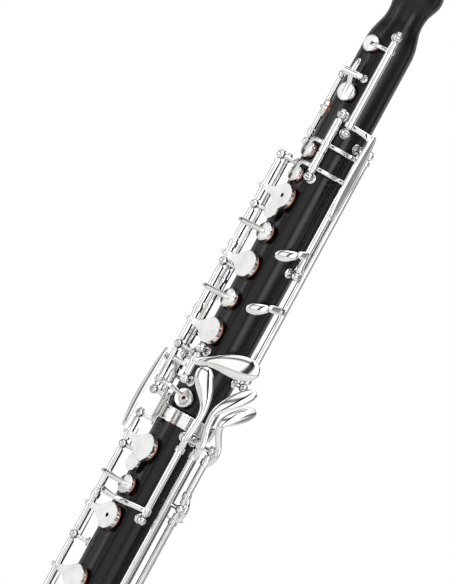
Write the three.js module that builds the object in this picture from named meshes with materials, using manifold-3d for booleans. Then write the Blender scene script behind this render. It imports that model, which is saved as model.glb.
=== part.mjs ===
// An oboe with covered finger keys, standing on its bell.
// Millimetres. +Z runs up the bore from the bell's rim to the reed, and the main tone holes face -Y.
// Angles go round the bore from the front, positive towards +X. A station is a height above the
// shoulder where the upper and lower joints meet, and is negative below it.
import * as THREE from "three";
import { mergeVertices } from "three/addons/utils/BufferGeometryUtils.js";
import { ConvexGeometry } from "three/addons/geometries/ConvexGeometry.js";
import Module from "manifold-3d";

const wasm = await Module();
wasm.setup();

// ---------------------------------------------------------------- driving dimensions

const gap = 0.3; // between two pieces that touch

// wooden joints
const bellLength = 110;
const lowerLength = 245;
const upperLength = 235;
const upperRadius = 12.4;
const lowerRadius = 13.3;
const bellTopRadius = 15.4;
const bellRimRadius = 29.5;
const bellMouthRadius = 19.0;
const neckRadius = 9.2;
const finialRadius = 12.4;
const upperBoreTop = 2.3;
const upperBoreFoot = 5.2;
const lowerBoreFoot = 7.9;
const reedWellRadius = 3.8;
const reedWellDepth = 21;
const upperTenonRadius = 8.2;
const upperTenonLength = 17;
const lowerTenonRadius = 10.0;
const lowerTenonLength = 15;
const corkThickness = 1.0;
const corkLength = 11;
const toneHoleRadius = 2.2;

// rings
const socketRingHeight = 7.2;
const socketRingWall = 1.3;
const bellRingHeight = 6;
const rimRingHeight = 4.2;
const rimRingWall = 1.5;
const capRingHeight = 3.2;

// reed
const reedLength = 72;
const stapleLength = 47;
const stapleFootRadius = 2.1;
const stapleTipRadius = 1.5;
const reedCorkLength = 25;
const bladeWidth = 7;

// keywork
const seatDepth = 1.2; // the pad's seat below the crest of the joint
const padSeatGap = 0.15;
const padThickness = 2.2;
const padProud = 1.1; // how far a pad stands out of its cup
const cupHeight = 2.3;
const cupWall = 0.5;
const openTurn = 6; // degrees that an open key stands off its seat
const lowOpenTurn = 7.5;
const largeCup = 6.6;
const smallCup = 4.8;
const tinyCup = 4.3;
const lowCup = 7.3;
const ventRadius = 0.8;
const plateThickness = 1.4;
const rodRadius = 1.0;
const tubeBore = 1.35;
const tubeRadius = 1.7;
const wideTubeRadius = 1.95;
const collarRadius = 2.4;
const endPlay = 0.3; // between a tube and the post beside it
const postBall = 2.3;
const postStem = 1.2;
const postFoot = 2.5;
const footHeight = 0.8;
const armWidth = 3.2;
const ribHeight = 2.2;
const ribWidth = 1.3;

// rods: angle round the bore, and height of the rod's axis above the wood
const stackAngle = -45;
const stackRise = 8.6;
const bridgeAngle = -57;
const bridgeRise = 5.1;
const trillAngle = 30;
const trillRise = 6.1;
const sideOctaveAngle = 48;
const sideOctaveRise = 6.0;
const thumbOctaveAngle = -87;
const thumbOctaveRise = 5.6;
const upperLeverAngle = 88;
const lowerLeverAngle = 103;
const leverRise = 5.8;
const gSharpAngle = 10;
const gSharpRise = 6.2;
const sideTrillAngle = -77;
const sideTrillRise = 6.5;
const leftRodRise = 6.7;
const fLeverAngle = 55;
const lowBAngle = 76;
const flatLeverAngle = 97;
const flatLeverRise = 8.2;
const littleRodAngle = 15;
const littleRodRise = 7.4;
const bellRodAngle = 85;
const bellRodRise = 7.5;

// stations of the keys
const halfHoleStation = 112.7;
const cStation = 93.6;
const aStation = 76;
const bFlatStation = 57.9;
const gStation = 40.3;
const gSharpStation = 6.2;
const fSharpStation = -23;
const fVentStation = -42.6;
const eStation = -59.7;
const dStation = -93;
const eFlatStation = -112;
const lowCStation = -150;
const cSharpStation = -173;
const lowBStation = 40 - lowerLength;
const upperTrillStation = 137.9;
const lowerTrillStation = 125;
const thumbOctaveStation = 159.3;
const thirdOctaveStation = 170.3;
const sideOctaveStation = 196;
const sideTrillStation = 13;
const bellKeyHeight = bellLength - 22;

// ---------------------------------------------------------------- places

const shoulder = bellLength + lowerLength;
const top = shoulder + upperLength;
const rad = THREE.MathUtils.degToRad;
const upAxis = new THREE.Vector3(0, 0, 1);

function outward(angle) {
  return new THREE.Vector3(Math.sin(rad(angle)), -Math.cos(rad(angle)), 0);
}

// A point at an angle round the bore, a radius and a station.
function place(angle, radius, station) {
  return outward(angle).multiplyScalar(radius).setZ(shoulder + station);
}

// ---------------------------------------------------------------- solids

function solid(geometry) {
  const bare = geometry.clone();
  bare.deleteAttribute("normal");
  bare.deleteAttribute("uv");
  const merged = mergeVertices(bare, 1e-4);
  return new wasm.Manifold(
    new wasm.Mesh({
      numProp: 3,
      vertProperties: new Float32Array(merged.attributes.position.array),
      triVerts: new Uint32Array(merged.index.array),
    }),
  );
}

function joined(pieces) {
  return pieces.reduce((whole, piece) => whole.add(piece));
}

// A profile of [radius, height] turned about a line from a point.
function turned(profile, sides, from, along) {
  const points = profile.map(([r, h]) => new THREE.Vector2(r, h));
  const geometry = new THREE.LatheGeometry(points, sides);
  const turn = new THREE.Quaternion().setFromUnitVectors(new THREE.Vector3(0, 1, 0), along);
  geometry.applyQuaternion(turn);
  geometry.translate(from.x, from.y, from.z);
  return solid(geometry);
}

function disc(radius, low, high, sides, from, along) {
  return turned([[0, low], [radius, low], [radius, high], [0, high]], sides, from, along);
}

function ringOf(inner, outer, low, high, sides, from, along) {
  const profile = [[inner, low], [outer, low], [outer, high], [inner, high], [inner, low]];
  return turned(profile, sides, from, along);
}

// A run of flat sections, each {at, wide, thick}, whose broad side faces a direction.
// Each stretch runs a little into the next, so that the whole is one body.
function ribbon(sections, facing) {
  const overlap = 0.12;
  const ends = sections.map((section, i) => {
    const before = sections[Math.max(i - 1, 0)].at;
    const after = sections[Math.min(i + 1, sections.length - 1)].at;
    const ahead = after.clone().sub(before).normalize();
    const side = ahead.clone().cross(section.facing ?? facing).normalize();
    const face = side.clone().cross(ahead);
    const corner = (s, f) =>
      section.at
        .clone()
        .addScaledVector(side, (s * section.wide) / 2)
        .addScaledVector(face, (f * section.thick) / 2);
    return { ahead, corners: [corner(1, 1), corner(1, -1), corner(-1, 1), corner(-1, -1)] };
  });
  const shifted = ({ ahead, corners }, by) => corners.map((c) => c.clone().addScaledVector(ahead, by));
  const runs = ends.slice(1).map((end, i) => {
    const start = shifted(ends[i], i === 0 ? 0 : -overlap);
    const finish = shifted(end, i === ends.length - 2 ? 0 : overlap);
    return solid(new ConvexGeometry([...start, ...finish]));
  });
  return joined(runs);
}

// A finger touch: the hull of two flattened balls, {at, wide, long, thick}.
function pebble(ends, facing) {
  const points = [];
  const ahead = ends[1].at.clone().sub(ends[0].at).normalize();
  const side = ahead.clone().cross(facing).normalize();
  const face = side.clone().cross(ahead);
  const ball = new THREE.SphereGeometry(1, 8, 5).getAttribute("position");
  for (const end of ends) {
    for (let i = 0; i < ball.count; i++) {
      points.push(
        end.at
          .clone()
          .addScaledVector(side, (ball.getX(i) * end.wide) / 2)
          .addScaledVector(face, (ball.getY(i) * end.thick) / 2)
          .addScaledVector(ahead, (ball.getZ(i) * end.long) / 2),
      );
    }
  }
  return solid(new ConvexGeometry(points));
}

const group = new THREE.Group();

// A hinge, {angle, radius, turn}, is a line along the bore, and its turn opens a key off its seat.
function add(name, manifold, material, hinge) {
  const made = manifold.asOriginal().simplify(0.03).getMesh();
  const geometry = new THREE.BufferGeometry();
  const positions = new Float32Array(made.numVert * 3);
  for (let i = 0; i < made.numVert; i++)
    positions.set(made.vertProperties.subarray(i * made.numProp, i * made.numProp + 3), i * 3);
  geometry.setAttribute("position", new THREE.BufferAttribute(positions, 3));
  geometry.setIndex(new THREE.BufferAttribute(new Uint32Array(made.triVerts), 1));
  const mesh = new THREE.Mesh(geometry, material);
  mesh.name = name;
  if (hinge) {
    const axis = outward(hinge.angle).multiplyScalar(hinge.radius);
    mesh.rotation.z = rad(-hinge.turn);
    mesh.position.copy(axis).sub(axis.clone().applyEuler(mesh.rotation));
  }
  group.add(mesh);
}

// ---------------------------------------------------------------- materials

const finish = (color, roughness, metalness) =>
  new THREE.MeshStandardMaterial({ color, roughness, metalness });
const blackwood = finish(0x17161a, 0.38, 0);
const silver = finish(0xe6e3dc, 0.12, 1);
const steel = finish(0x9a9c9f, 0.3, 1);
const padSkin = finish(0xa8583c, 0.7, 0);
const cork = finish(0xb98a5a, 0.9, 0);
const cane = finish(0xd8b66a, 0.55, 0);

// ---------------------------------------------------------------- rods on posts

const jointRadius = (station) => (station > 0 ? upperRadius : lowerRadius);

// A steel rod along the bore, held by ball posts that stand on the wood at the given stations.
function rodOnPosts(angle, radius, stations, footing = jointRadius(stations[0])) {
  const out = outward(angle);
  const low = Math.min(...stations);
  const high = Math.max(...stations);
  const rod = disc(rodRadius, 0, high - low, 8, place(angle, radius, low), upAxis);
  const foot = footing + gap;
  const posts = stations.map((station) =>
    turned(
      [
        [0, foot],
        [postFoot, foot],
        [postFoot, foot + footHeight],
        [postStem, foot + footHeight + 0.5],
        [postStem, radius - postBall * 0.9],
        [postBall, radius - postBall * 0.3],
        [postBall, radius + postBall * 0.4],
        [0, radius + postBall],
      ],
      7,
      new THREE.Vector3(0, 0, shoulder + station),
      out,
    ),
  );
  return joined([rod, ...posts]);
}

// A flat web that ties two posts at one station.
function web(angleA, radiusA, angleB, radiusB, station) {
  const a = place(angleA, radiusA, station);
  const b = place(angleB, radiusB, station);
  const facing = outward((angleA + angleB) / 2);
  const section = (at) => ({ at, wide: 2, thick: 1.6 });
  return ribbon([section(a), section(b)], facing);
}

// ---------------------------------------------------------------- keys

// A hinge tube that turns on a rod between two stations.
function hingeTube(angle, radius, low, high, outer = tubeRadius) {
  return ringOf(tubeBore, outer, 0, high - low, 10, place(angle, radius, low), upAxis);
}

function collar(angle, radius, station, thick = 1.8, outer = collarRadius) {
  const from = place(angle, radius, station - thick / 2);
  return ringOf(tubeBore, outer, 0, thick, 10, from, upAxis);
}

const seatHeight = (station) => jointRadius(station) - seatDepth;
const padFoot = (seat) => seat + padSeatGap;
const cupTop = (seat) => padFoot(seat) + padProud + cupHeight;

// The metal cup over a tone hole, before its pad's room is cut.
function cup(angle, station, radius, seat) {
  const foot = padFoot(seat);
  return turned(
    [
      [0, foot + padProud],
      [radius, foot + padProud],
      [radius, foot + padProud + cupHeight - 0.5],
      [radius - 0.5, foot + padProud + cupHeight],
      [0, foot + padProud + cupHeight],
    ],
    16,
    new THREE.Vector3(0, 0, shoulder + station),
    outward(angle),
  );
}

// Cuts the pad's room, and the vent where vented, out of a key whose arm runs over its cup.
function hollowed(key, angle, station, radius, seat, vented) {
  const out = outward(angle);
  const centre = new THREE.Vector3(0, 0, shoulder + station);
  const foot = padFoot(seat);
  const room = disc(radius - cupWall, foot - 1, foot + padThickness + gap, 16, centre, out);
  const open = key.subtract(room);
  return vented ? open.subtract(disc(ventRadius, seat, foot + 9, 8, centre, out)) : open;
}

function pad(angle, station, radius, seat, vented = false) {
  const out = outward(angle);
  const centre = new THREE.Vector3(0, 0, shoulder + station);
  const foot = padFoot(seat);
  const edge = radius - cupWall - gap;
  if (vented) return ringOf(ventRadius, edge, foot, foot + padThickness, 14, centre, out);
  return disc(edge, foot, foot + padThickness, 14, centre, out);
}

// A cup whose pad is one solid with it, for the small and low keys.
function paddedCup(angle, station, radius, seat) {
  const out = outward(angle);
  const centre = new THREE.Vector3(0, 0, shoulder + station);
  const foot = padFoot(seat);
  const edge = radius - cupWall - gap;
  return turned(
    [
      [0, foot],
      [edge, foot],
      [edge, foot + padProud],
      [radius, foot + padProud],
      [radius, foot + padProud + cupHeight - 0.5],
      [radius - 0.5, foot + padProud + cupHeight],
      [0, foot + padProud + cupHeight],
    ],
    16,
    centre,
    out,
  );
}

// The tapered plate that runs from a finger plate to its hinge tube.
function plateArm(angle, station, radius, top, rodAngle, rodRadial, hingeStation = station) {
  const inset = plateThickness / 2;
  const hinge = place(rodAngle, rodRadial, hingeStation);
  const centre = outward(angle).multiplyScalar(top - inset).setZ(shoulder + station);
  const shoulderPoint = centre.clone().lerp(hinge, (radius * 0.75) / centre.distanceTo(hinge));
  const facing = outward(angle);
  return ribbon(
    [
      { at: centre, wide: radius * 1.5, thick: plateThickness },
      { at: shoulderPoint, wide: radius * 1.1, thick: plateThickness },
      { at: hinge.addScaledVector(facing, 0.4), wide: armWidth, thick: plateThickness },
    ],
    facing,
  );
}

// The thin upright rib that runs over a small cup to its hinge tube.
function ribArm(angle, station, top, rodAngle, rodRadial, reach = 2.5) {
  const facing = outward(angle);
  const hinge = place(rodAngle, rodRadial, station);
  const centre = outward(angle).multiplyScalar(top + 0.2).setZ(shoulder + station);
  const along = centre.clone().sub(hinge).normalize();
  return ribbon(
    [
      { at: hinge.addScaledVector(facing, 0.6), wide: ribWidth, thick: ribHeight },
      { at: centre, wide: ribWidth, thick: ribHeight * 0.7 },
      { at: centre.clone().addScaledVector(along, reach), wide: ribWidth * 0.7, thick: 0.6 },
    ],
    facing,
  );
}

// Cuts the rod's clearance back out of a key, so that arms and touches don't fill its hinge tube.
function rebored(key, angle, radius, low, high) {
  return key.subtract(disc(tubeBore, -1, high - low + 1, 10, place(angle, radius, low), upAxis));
}

// ---------------------------------------------------------------- wooden joints

const upperSocketRadius = upperTenonRadius + corkThickness + 2 * gap;
const lowerSocketRadius = lowerTenonRadius + corkThickness + 2 * gap;
const upperHoles = [
  [0, halfHoleStation, largeCup],
  [0, cStation, smallCup],
  [0, aStation, largeCup],
  [0, bFlatStation, smallCup],
  [0, gStation, largeCup],
  [16, gSharpStation, smallCup],
  [-10, upperTrillStation, tinyCup],
  [-10, lowerTrillStation, tinyCup],
  [-45, thumbOctaveStation, tinyCup],
  [8, thirdOctaveStation, smallCup],
  [5, sideOctaveStation, tinyCup],
  [-110, sideTrillStation, tinyCup],
];
const lowerHoles = [
  [0, fSharpStation, largeCup],
  [0, fVentStation, smallCup],
  [0, eStation, largeCup],
  [0, dStation, largeCup],
  [45, eFlatStation, smallCup],
  [0, lowCStation, lowCup],
  [45, cSharpStation, lowCup],
  [112, lowBStation, lowCup],
];

// Cuts each pad's flat seat and the tone hole under it.
function withToneHoles(wood, holes, radius) {
  return holes.reduce((body, [angle, station, cupRadius]) => {
    const centre = new THREE.Vector3(0, 0, shoulder + station);
    const seat = radius - seatDepth;
    const face = disc(cupRadius + 0.9, seat, seat + 6, 16, centre, outward(angle));
    const hole = disc(toneHoleRadius, 2, seat + 1, 8, centre, outward(angle));
    return body.subtract(face).subtract(hole);
  }, wood);
}

function upperJoint() {
  const base = new THREE.Vector3(0, 0, 0);
  const foot = shoulder + gap;
  const tenonFoot = shoulder - upperTenonLength;
  const wood = turned(
    [
      [upperBoreFoot, tenonFoot],
      [upperTenonRadius, tenonFoot],
      [upperTenonRadius, foot],
      [upperRadius, foot],
      [upperRadius, top - 34],
      [neckRadius, top - 22],
      [neckRadius + 0.3, top - 16],
      [finialRadius, top - 9],
      [finialRadius, top - 5],
      [finialRadius - 1.6, top - capRingHeight],
      [finialRadius - 1.6, top],
      [reedWellRadius, top],
      [reedWellRadius, top - reedWellDepth],
      [upperBoreTop, top - reedWellDepth],
      [upperBoreFoot, tenonFoot],
    ],
    32,
    base,
    upAxis,
  );
  return withToneHoles(wood, upperHoles, upperRadius);
}

function lowerJoint() {
  const tenonFoot = bellLength - lowerTenonLength;
  const socketFoot = shoulder - upperTenonLength - 1;
  const wood = turned(
    [
      [lowerBoreFoot, tenonFoot],
      [lowerTenonRadius, tenonFoot],
      [lowerTenonRadius, bellLength + gap],
      [lowerRadius + 0.8, bellLength + gap],
      [lowerRadius + 0.8, bellLength + 9],
      [lowerRadius, bellLength + 14],
      [lowerRadius, shoulder],
      [upperSocketRadius, shoulder],
      [upperSocketRadius, socketFoot],
      [upperBoreFoot, socketFoot],
      [lowerBoreFoot, tenonFoot],
    ],
    32,
    new THREE.Vector3(0, 0, 0),
    upAxis,
  );
  return withToneHoles(wood, lowerHoles, lowerRadius);
}

const rimWood = bellRimRadius - rimRingWall - gap;

function bell() {
  const socketFoot = bellLength - lowerTenonLength - 1;
  const bellStraight = bellLength - 40; // above this the bell is a cylinder
  const wood = turned(
    [
      [bellMouthRadius, 0],
      [rimWood, 0],
      [rimWood, rimRingHeight + gap],
      [bellRimRadius - 0.9, rimRingHeight + gap],
      [bellRimRadius - 1.6, 6.5],
      [bellTopRadius + 8.8, 16],
      [bellTopRadius + 4.6, 32],
      [bellTopRadius + 1.8, (bellStraight + 30) / 2],
      [bellTopRadius, bellStraight],
      [bellTopRadius, bellLength],
      [lowerSocketRadius, bellLength],
      [lowerSocketRadius, socketFoot],
      [lowerBoreFoot, socketFoot],
      [lowerBoreFoot + 1.7, bellStraight - 4],
      [lowerBoreFoot + 4.6, 32],
      [bellMouthRadius - 2.6, 10],
      [bellMouthRadius, 0],
    ],
    32,
    new THREE.Vector3(0, 0, 0),
    upAxis,
  );
  const centre = new THREE.Vector3(0, 0, bellKeyHeight);
  const seat = bellTopRadius - seatDepth;
  const face = disc(lowCup + 0.9, seat, seat + 6, 16, centre, outward(112));
  const hole = disc(toneHoleRadius + 1.5, 4, seat + 1, 8, centre, outward(112));
  return wood.subtract(face).subtract(hole);
}

add("upper_joint", upperJoint(), blackwood);
add("lower_joint", lowerJoint(), blackwood);
add("bell", bell(), blackwood);

const axisPoint = (height) => new THREE.Vector3(0, 0, height);
const capInner = finialRadius - 1.6 + gap;
const socketRingInner = lowerRadius + gap;
const bellRingInner = bellTopRadius + gap;
add(
  "reed_socket_ring",
  ringOf(capInner, finialRadius + 0.2, 0.3, capRingHeight, 32, axisPoint(top - capRingHeight), upAxis),
  silver,
);
add(
  "lower_joint_socket_ring",
  ringOf(
    socketRingInner,
    socketRingInner + socketRingWall,
    0,
    socketRingHeight,
    32,
    axisPoint(shoulder - socketRingHeight),
    upAxis,
  ),
  silver,
);
add(
  "bell_socket_ring",
  ringOf(
    bellRingInner,
    bellRingInner + socketRingWall,
    0,
    bellRingHeight,
    32,
    axisPoint(bellLength - bellRingHeight),
    upAxis,
  ),
  silver,
);
add(
  "bell_rim_ring",
  ringOf(bellRimRadius - rimRingWall, bellRimRadius, gap, rimRingHeight, 32, axisPoint(0), upAxis),
  silver,
);
add(
  "upper_tenon_cork",
  ringOf(
    upperTenonRadius + gap,
    upperTenonRadius + gap + corkThickness,
    0,
    corkLength,
    24,
    axisPoint(shoulder - upperTenonLength + 2),
    upAxis,
  ),
  cork,
);
add(
  "lower_tenon_cork",
  ringOf(
    lowerTenonRadius + gap,
    lowerTenonRadius + gap + corkThickness,
    0,
    corkLength,
    24,
    axisPoint(bellLength - lowerTenonLength + 2),
    upAxis,
  ),
  cork,
);

// ---------------------------------------------------------------- reed

const reedFoot = top - reedWellDepth + gap + 0.5;

function reedStaple() {
  return turned(
    [
      [stapleFootRadius - 0.5, 0],
      [reedWellRadius - gap - 0.2, 0],
      [reedWellRadius - gap, reedCorkLength - 1],
      [reedWellRadius - gap - 0.3, reedCorkLength],
      [stapleFootRadius, reedCorkLength],
      [stapleTipRadius + 0.4, stapleLength],
      [stapleTipRadius - 0.1, stapleLength],
      [stapleFootRadius - 0.5, 0],
    ],
    16,
    axisPoint(reedFoot),
    upAxis,
  );
}

// Two blades as one flattened tube of cane, bound round the staple's tip.
function reedCane() {
  const bound = stapleLength - 14;
  const inner = stapleFootRadius + gap;
  const barrel = ringOf(inner, inner + 0.9, bound, stapleLength - 1, 16, axisPoint(reedFoot), upAxis);
  const throat = reedFoot + stapleLength + gap - shoulder;
  const tip = reedFoot + reedLength - shoulder;
  const blades = ribbon(
    [
      { at: place(0, 0, throat), wide: inner * 2 + 1.2, thick: inner * 2 },
      { at: place(0, 0, throat + 8), wide: bladeWidth - 1, thick: 3.4 },
      { at: place(0, 0, tip), wide: bladeWidth, thick: 1.2 },
    ],
    outward(0),
  );
  const throatRing = ringOf(
    inner,
    inner + 0.9,
    stapleLength - 1,
    stapleLength + 2,
    16,
    axisPoint(reedFoot),
    upAxis,
  );
  return joined([barrel, throatRing, blades]);
}

add("reed_staple", reedStaple(), steel);
add("reed_cane", reedCane(), cane);

// ---------------------------------------------------------------- thumb rest

function thumbRest() {
  const back = 180;
  const inner = lowerRadius + gap;
  const facing = outward(back);
  const base = ribbon(
    [
      { at: place(back, inner + 0.7, -62), wide: 9, thick: 1.4 },
      { at: place(back, inner + 0.7, -40), wide: 9, thick: 1.4 },
    ],
    facing,
  );
  const shelf = ribbon(
    [
      { at: place(back, inner + 0.9, -48), wide: 13, thick: 2.2, facing: upAxis },
      { at: place(back, inner + 14, -48), wide: 11, thick: 2.2, facing: upAxis },
    ],
    upAxis,
  );
  const lip = ribbon(
    [
      { at: place(back, inner + 13, -49), wide: 11, thick: 2 },
      { at: place(back, inner + 13, -43), wide: 9, thick: 1.6 },
    ],
    facing,
  );
  return joined([base, shelf, lip]);
}

add("thumb_rest", thumbRest(), silver);

// ---------------------------------------------------------------- upper stack

const stackRadius = upperRadius + stackRise;
const bridgeRadius = upperRadius + bridgeRise;
const stackPosts = [129.8, 103.1, 72.2, 27.3, 2.8];
const bridgePosts = [129.8, 72.2, 27.3];

function upperStackRods() {
  return joined([
    rodOnPosts(stackAngle, stackRadius, stackPosts),
    rodOnPosts(bridgeAngle, bridgeRadius, bridgePosts),
    ...bridgePosts.map((s) => web(stackAngle, stackRadius, bridgeAngle, bridgeRadius, s)),
  ]);
}
add("upper_stack_rods", upperStackRods(), steel);

const postHalf = postBall + endPlay;
const upperSeat = seatHeight(1);
const lowerSeat = seatHeight(-1);

// A stack key: a cup on the front line, its arm, and its length of hinge tube.
function stackKey({ station, radius, low, high, rodRadial, seat, plate, vented, ...others }) {
  const { extras = [], hingeStation = station } = others;
  const tube = hingeTube(stackAngle, rodRadial, low, high);
  const topHeight = cupTop(seat);
  const arm = plate
    ? plateArm(0, station, radius, topHeight, stackAngle, rodRadial, hingeStation)
    : ribArm(0, station, topHeight, stackAngle, rodRadial);
  const bodyOfCup = cup(0, station, radius, seat);
  const ring = collar(stackAngle, rodRadial, hingeStation);
  const whole = joined([tube, ring, arm, bodyOfCup, ...extras]);
  const key = rebored(whole, stackAngle, rodRadial, low, high);
  return hollowed(key, 0, station, radius, seat, vented);
}

// The flat tongue that carries a finger plate on past its cup.
function tongue(station, radius, topHeight, length, width) {
  const start = place(0, topHeight - plateThickness / 2, station - radius * 0.4);
  const end = place(-4, topHeight - plateThickness / 2, station - radius - length + width / 2);
  return pebble(
    [
      { at: start, wide: width + 2, long: width, thick: plateThickness },
      { at: end, wide: width, long: width, thick: plateThickness },
    ],
    outward(0),
  );
}

const upperTop = cupTop(upperSeat);
const lowerTop = cupTop(lowerSeat);

const upperStack = [
  {
    name: "half_hole_key",
    station: halfHoleStation,
    radius: largeCup - 0.4,
    low: stackPosts[1] + postHalf,
    high: stackPosts[0] - postHalf,
    plate: true,
    vented: true,
    extras: [tongue(halfHoleStation, largeCup, upperTop, 6, 7)],
  },
  {
    name: "c_key",
    station: cStation,
    radius: smallCup,
    low: 85,
    high: stackPosts[1] - postHalf,
    plate: false,
  },
  {
    name: "a_key",
    station: aStation,
    hingeStation: stackPosts[2] + postHalf + 1.2,
    radius: largeCup,
    low: stackPosts[2] + postHalf,
    high: 85 - endPlay,
    plate: true,
  },
  {
    name: "b_flat_key",
    station: bFlatStation,
    radius: smallCup,
    low: 50,
    high: stackPosts[2] - postHalf,
    plate: false,
  },
  {
    name: "g_key",
    station: gStation,
    radius: largeCup,
    low: stackPosts[3] + postHalf,
    high: 50 - endPlay,
    plate: true,
  },
];

const stackHinge = { angle: stackAngle, radius: stackRadius, turn: openTurn };
for (const key of upperStack) {
  const padName = key.name.replace("_key", "_pad");
  add(key.name, stackKey({ ...key, rodRadial: stackRadius, seat: upperSeat }), silver, stackHinge);
  add(padName, pad(0, key.station, key.radius, upperSeat, key.vented), padSkin, stackHinge);
}

// ---------------------------------------------------------------- bridge lever

// Carries the upper stack's motion over the tenon to the first key of the lower joint.
function bridgeLever() {
  const low = bridgePosts[2] + postHalf;
  const high = bridgePosts[1] - postHalf;
  const tube = hingeTube(bridgeAngle, bridgeRadius, low, high);
  const under = bridgeRadius - 2.2;
  const strapRadius = socketRingInner + socketRingWall + 1.9;
  const arm = ribbon(
    [
      { at: place(bridgeAngle, bridgeRadius + 0.8, 37), wide: 2.4, thick: 1.8 },
      { at: place(bridgeAngle, bridgeRadius + postBall + 1.3, 31.4), wide: 2.4, thick: 1.4 },
      { at: place(bridgeAngle, bridgeRadius + postBall + 1.3, 23.4), wide: 2.4, thick: 1.4 },
      { at: place(bridgeAngle, bridgeRadius + 0.6, 18), wide: 2.2, thick: 1.6 },
      { at: place(bridgeAngle + 3, under, 12.6), wide: 2.2, thick: 1.6 },
      { at: place(-36, under + 0.4, 8), wide: 2.4, thick: 1.6 },
      { at: place(-22, strapRadius, 4.4), wide: 2.8, thick: 1.3 },
      { at: place(-16, strapRadius, 2.4), wide: 3.4, thick: 1.3 },
    ],
    outward(bridgeAngle + 20),
  );
  const strap = ribbon(
    [
      { at: place(-16, strapRadius, 5), wide: 4.6, thick: 1.3 },
      { at: place(-16, strapRadius, -9), wide: 4.6, thick: 1.3 },
    ],
    outward(-16),
  );
  return rebored(joined([tube, arm, strap]), bridgeAngle, bridgeRadius, low, high);
}
add("bridge_lever", bridgeLever(), silver);

// ---------------------------------------------------------------- trill keys

const trillRadius = upperRadius + trillRise;
const closedTop = cupTop(upperSeat);
add("trill_rod", rodOnPosts(trillAngle, trillRadius, [126, 159.3]), steel);

// A lever across the front: a padded cup on the left, a foot for its lever on the right.
function trillKey(station, armStation, low, high) {
  const tube = hingeTube(trillAngle, trillRadius, low, high, wideTubeRadius);
  const hinge = place(trillAngle, trillRadius, armStation);
  const over = outward(trillAngle);
  const left = ribbon(
    [
      { at: hinge.clone().addScaledVector(over, 0.6), wide: 2.2, thick: 1.8 },
      { at: place(6, upperRadius + 5.2, armStation), wide: 2.2, thick: 1.8 },
      { at: place(-6, closedTop - 0.1, station + 1), wide: 2.4, thick: 1.4 },
      { at: place(-10, closedTop - 0.3, station), wide: 3, thick: 1 },
    ],
    outward(8),
  );
  const right = ribbon(
    [
      { at: hinge.clone().addScaledVector(over, 0.6), wide: 2.2, thick: 1.8 },
      { at: place(52, upperRadius + 5.6, armStation), wide: 2.2, thick: 1.5 },
      { at: place(67, upperRadius + 4.8, armStation), wide: 2.2, thick: 1.2 },
    ],
    outward(50),
  );
  const ring = collar(trillAngle, trillRadius, armStation, 2.4, 2.6);
  const padded = paddedCup(-10, station, tinyCup, upperSeat);
  return rebored(joined([tube, ring, left, right, padded]), trillAngle, trillRadius, low, high);
}
add("upper_trill_key", trillKey(upperTrillStation, 143.6, 139.2, 159.3 - postHalf), silver);
add("lower_trill_key", trillKey(lowerTrillStation, 131.2, 126 + postHalf, 139.2 - endPlay), silver);

// ---------------------------------------------------------------- trill levers

const leverRadius = upperRadius + leverRise;
const farLeverRadius = leverRadius + 0.6;
const sideTop = 148.4;
const upperLeverFoot = 81.7;
const lowerLeverFoot = 23.6;

function sideLeverRods() {
  return joined([
    rodOnPosts(upperLeverAngle, leverRadius, [sideTop, upperLeverFoot]),
    rodOnPosts(lowerLeverAngle, farLeverRadius, [sideTop, lowerLeverFoot]),
    web(upperLeverAngle, leverRadius, lowerLeverAngle, farLeverRadius, sideTop),
  ]);
}
add("side_lever_rods", sideLeverRods(), steel);

// The oval finger touch of a trill lever, on an arm that curves in over the wood.
function leverTouch(angle, radius, armStation, touchStation) {
  return [
    ribbon(
      [
        { at: place(angle, radius + 0.4, armStation), wide: 4, thick: 2.6 },
        { at: place(78, upperRadius + 8.1, armStation - 0.8), wide: 4, thick: 1.5 },
        { at: place(68, upperRadius + 8.0, touchStation + 2.6), wide: 3.6, thick: 1.6 },
      ],
      outward(75),
    ),
    pebble(
      [
        { at: place(69, upperRadius + 7.7, touchStation + 2), wide: 4, long: 4, thick: 2 },
        { at: place(52, upperRadius + 6.6, touchStation - 1.4), wide: 4.6, long: 6, thick: 2.4 },
      ],
      outward(60),
    ),
  ];
}

function upperTrillLever() {
  const low = upperLeverFoot + postHalf;
  const high = sideTop - postHalf;
  const tube = hingeTube(upperLeverAngle, leverRadius, low, high);
  const finger = ribbon(
    [
      { at: place(upperLeverAngle, leverRadius + 0.5, 143.6), wide: 2.6, thick: 2 },
      { at: place(66, upperRadius + 6.7, 143.6), wide: 2.4, thick: 1.1 },
    ],
    outward(77),
  );
  const parts = [tube, finger, ...leverTouch(upperLeverAngle, leverRadius, 93, 88.6)];
  return rebored(joined(parts), upperLeverAngle, leverRadius, low, high);
}

function lowerTrillLever() {
  const low = lowerLeverFoot + postHalf;
  const high = sideTop - postHalf;
  const tube = hingeTube(lowerLeverAngle, farLeverRadius, low, high);
  const over = leverRadius + tubeRadius + 1.4;
  const finger = ribbon(
    [
      { at: place(lowerLeverAngle, farLeverRadius + 0.7, 131.2), wide: 2.6, thick: 1.4 },
      { at: place(94, over, 131.2), wide: 2.4, thick: 1 },
      { at: place(82, over, 131.2), wide: 2.4, thick: 1 },
      { at: place(66, upperRadius + 6.8, 131.2), wide: 2.2, thick: 1 },
    ],
    outward(84),
  );
  const parts = [tube, finger, ...leverTouch(lowerLeverAngle, farLeverRadius, 64, 60)];
  return rebored(joined(parts), lowerLeverAngle, farLeverRadius, low, high);
}
add("upper_trill_lever", upperTrillLever(), silver);
add("lower_trill_lever", lowerTrillLever(), silver);

// ---------------------------------------------------------------- octave keys

const sideOctaveRadius = upperRadius + sideOctaveRise;
const sideOctaveFoot = 152.2;
const sideOctaveTop = 203.6;
add(
  "side_octave_rod",
  rodOnPosts(sideOctaveAngle, sideOctaveRadius, [sideOctaveFoot, sideOctaveTop], upperRadius),
  steel,
);

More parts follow.
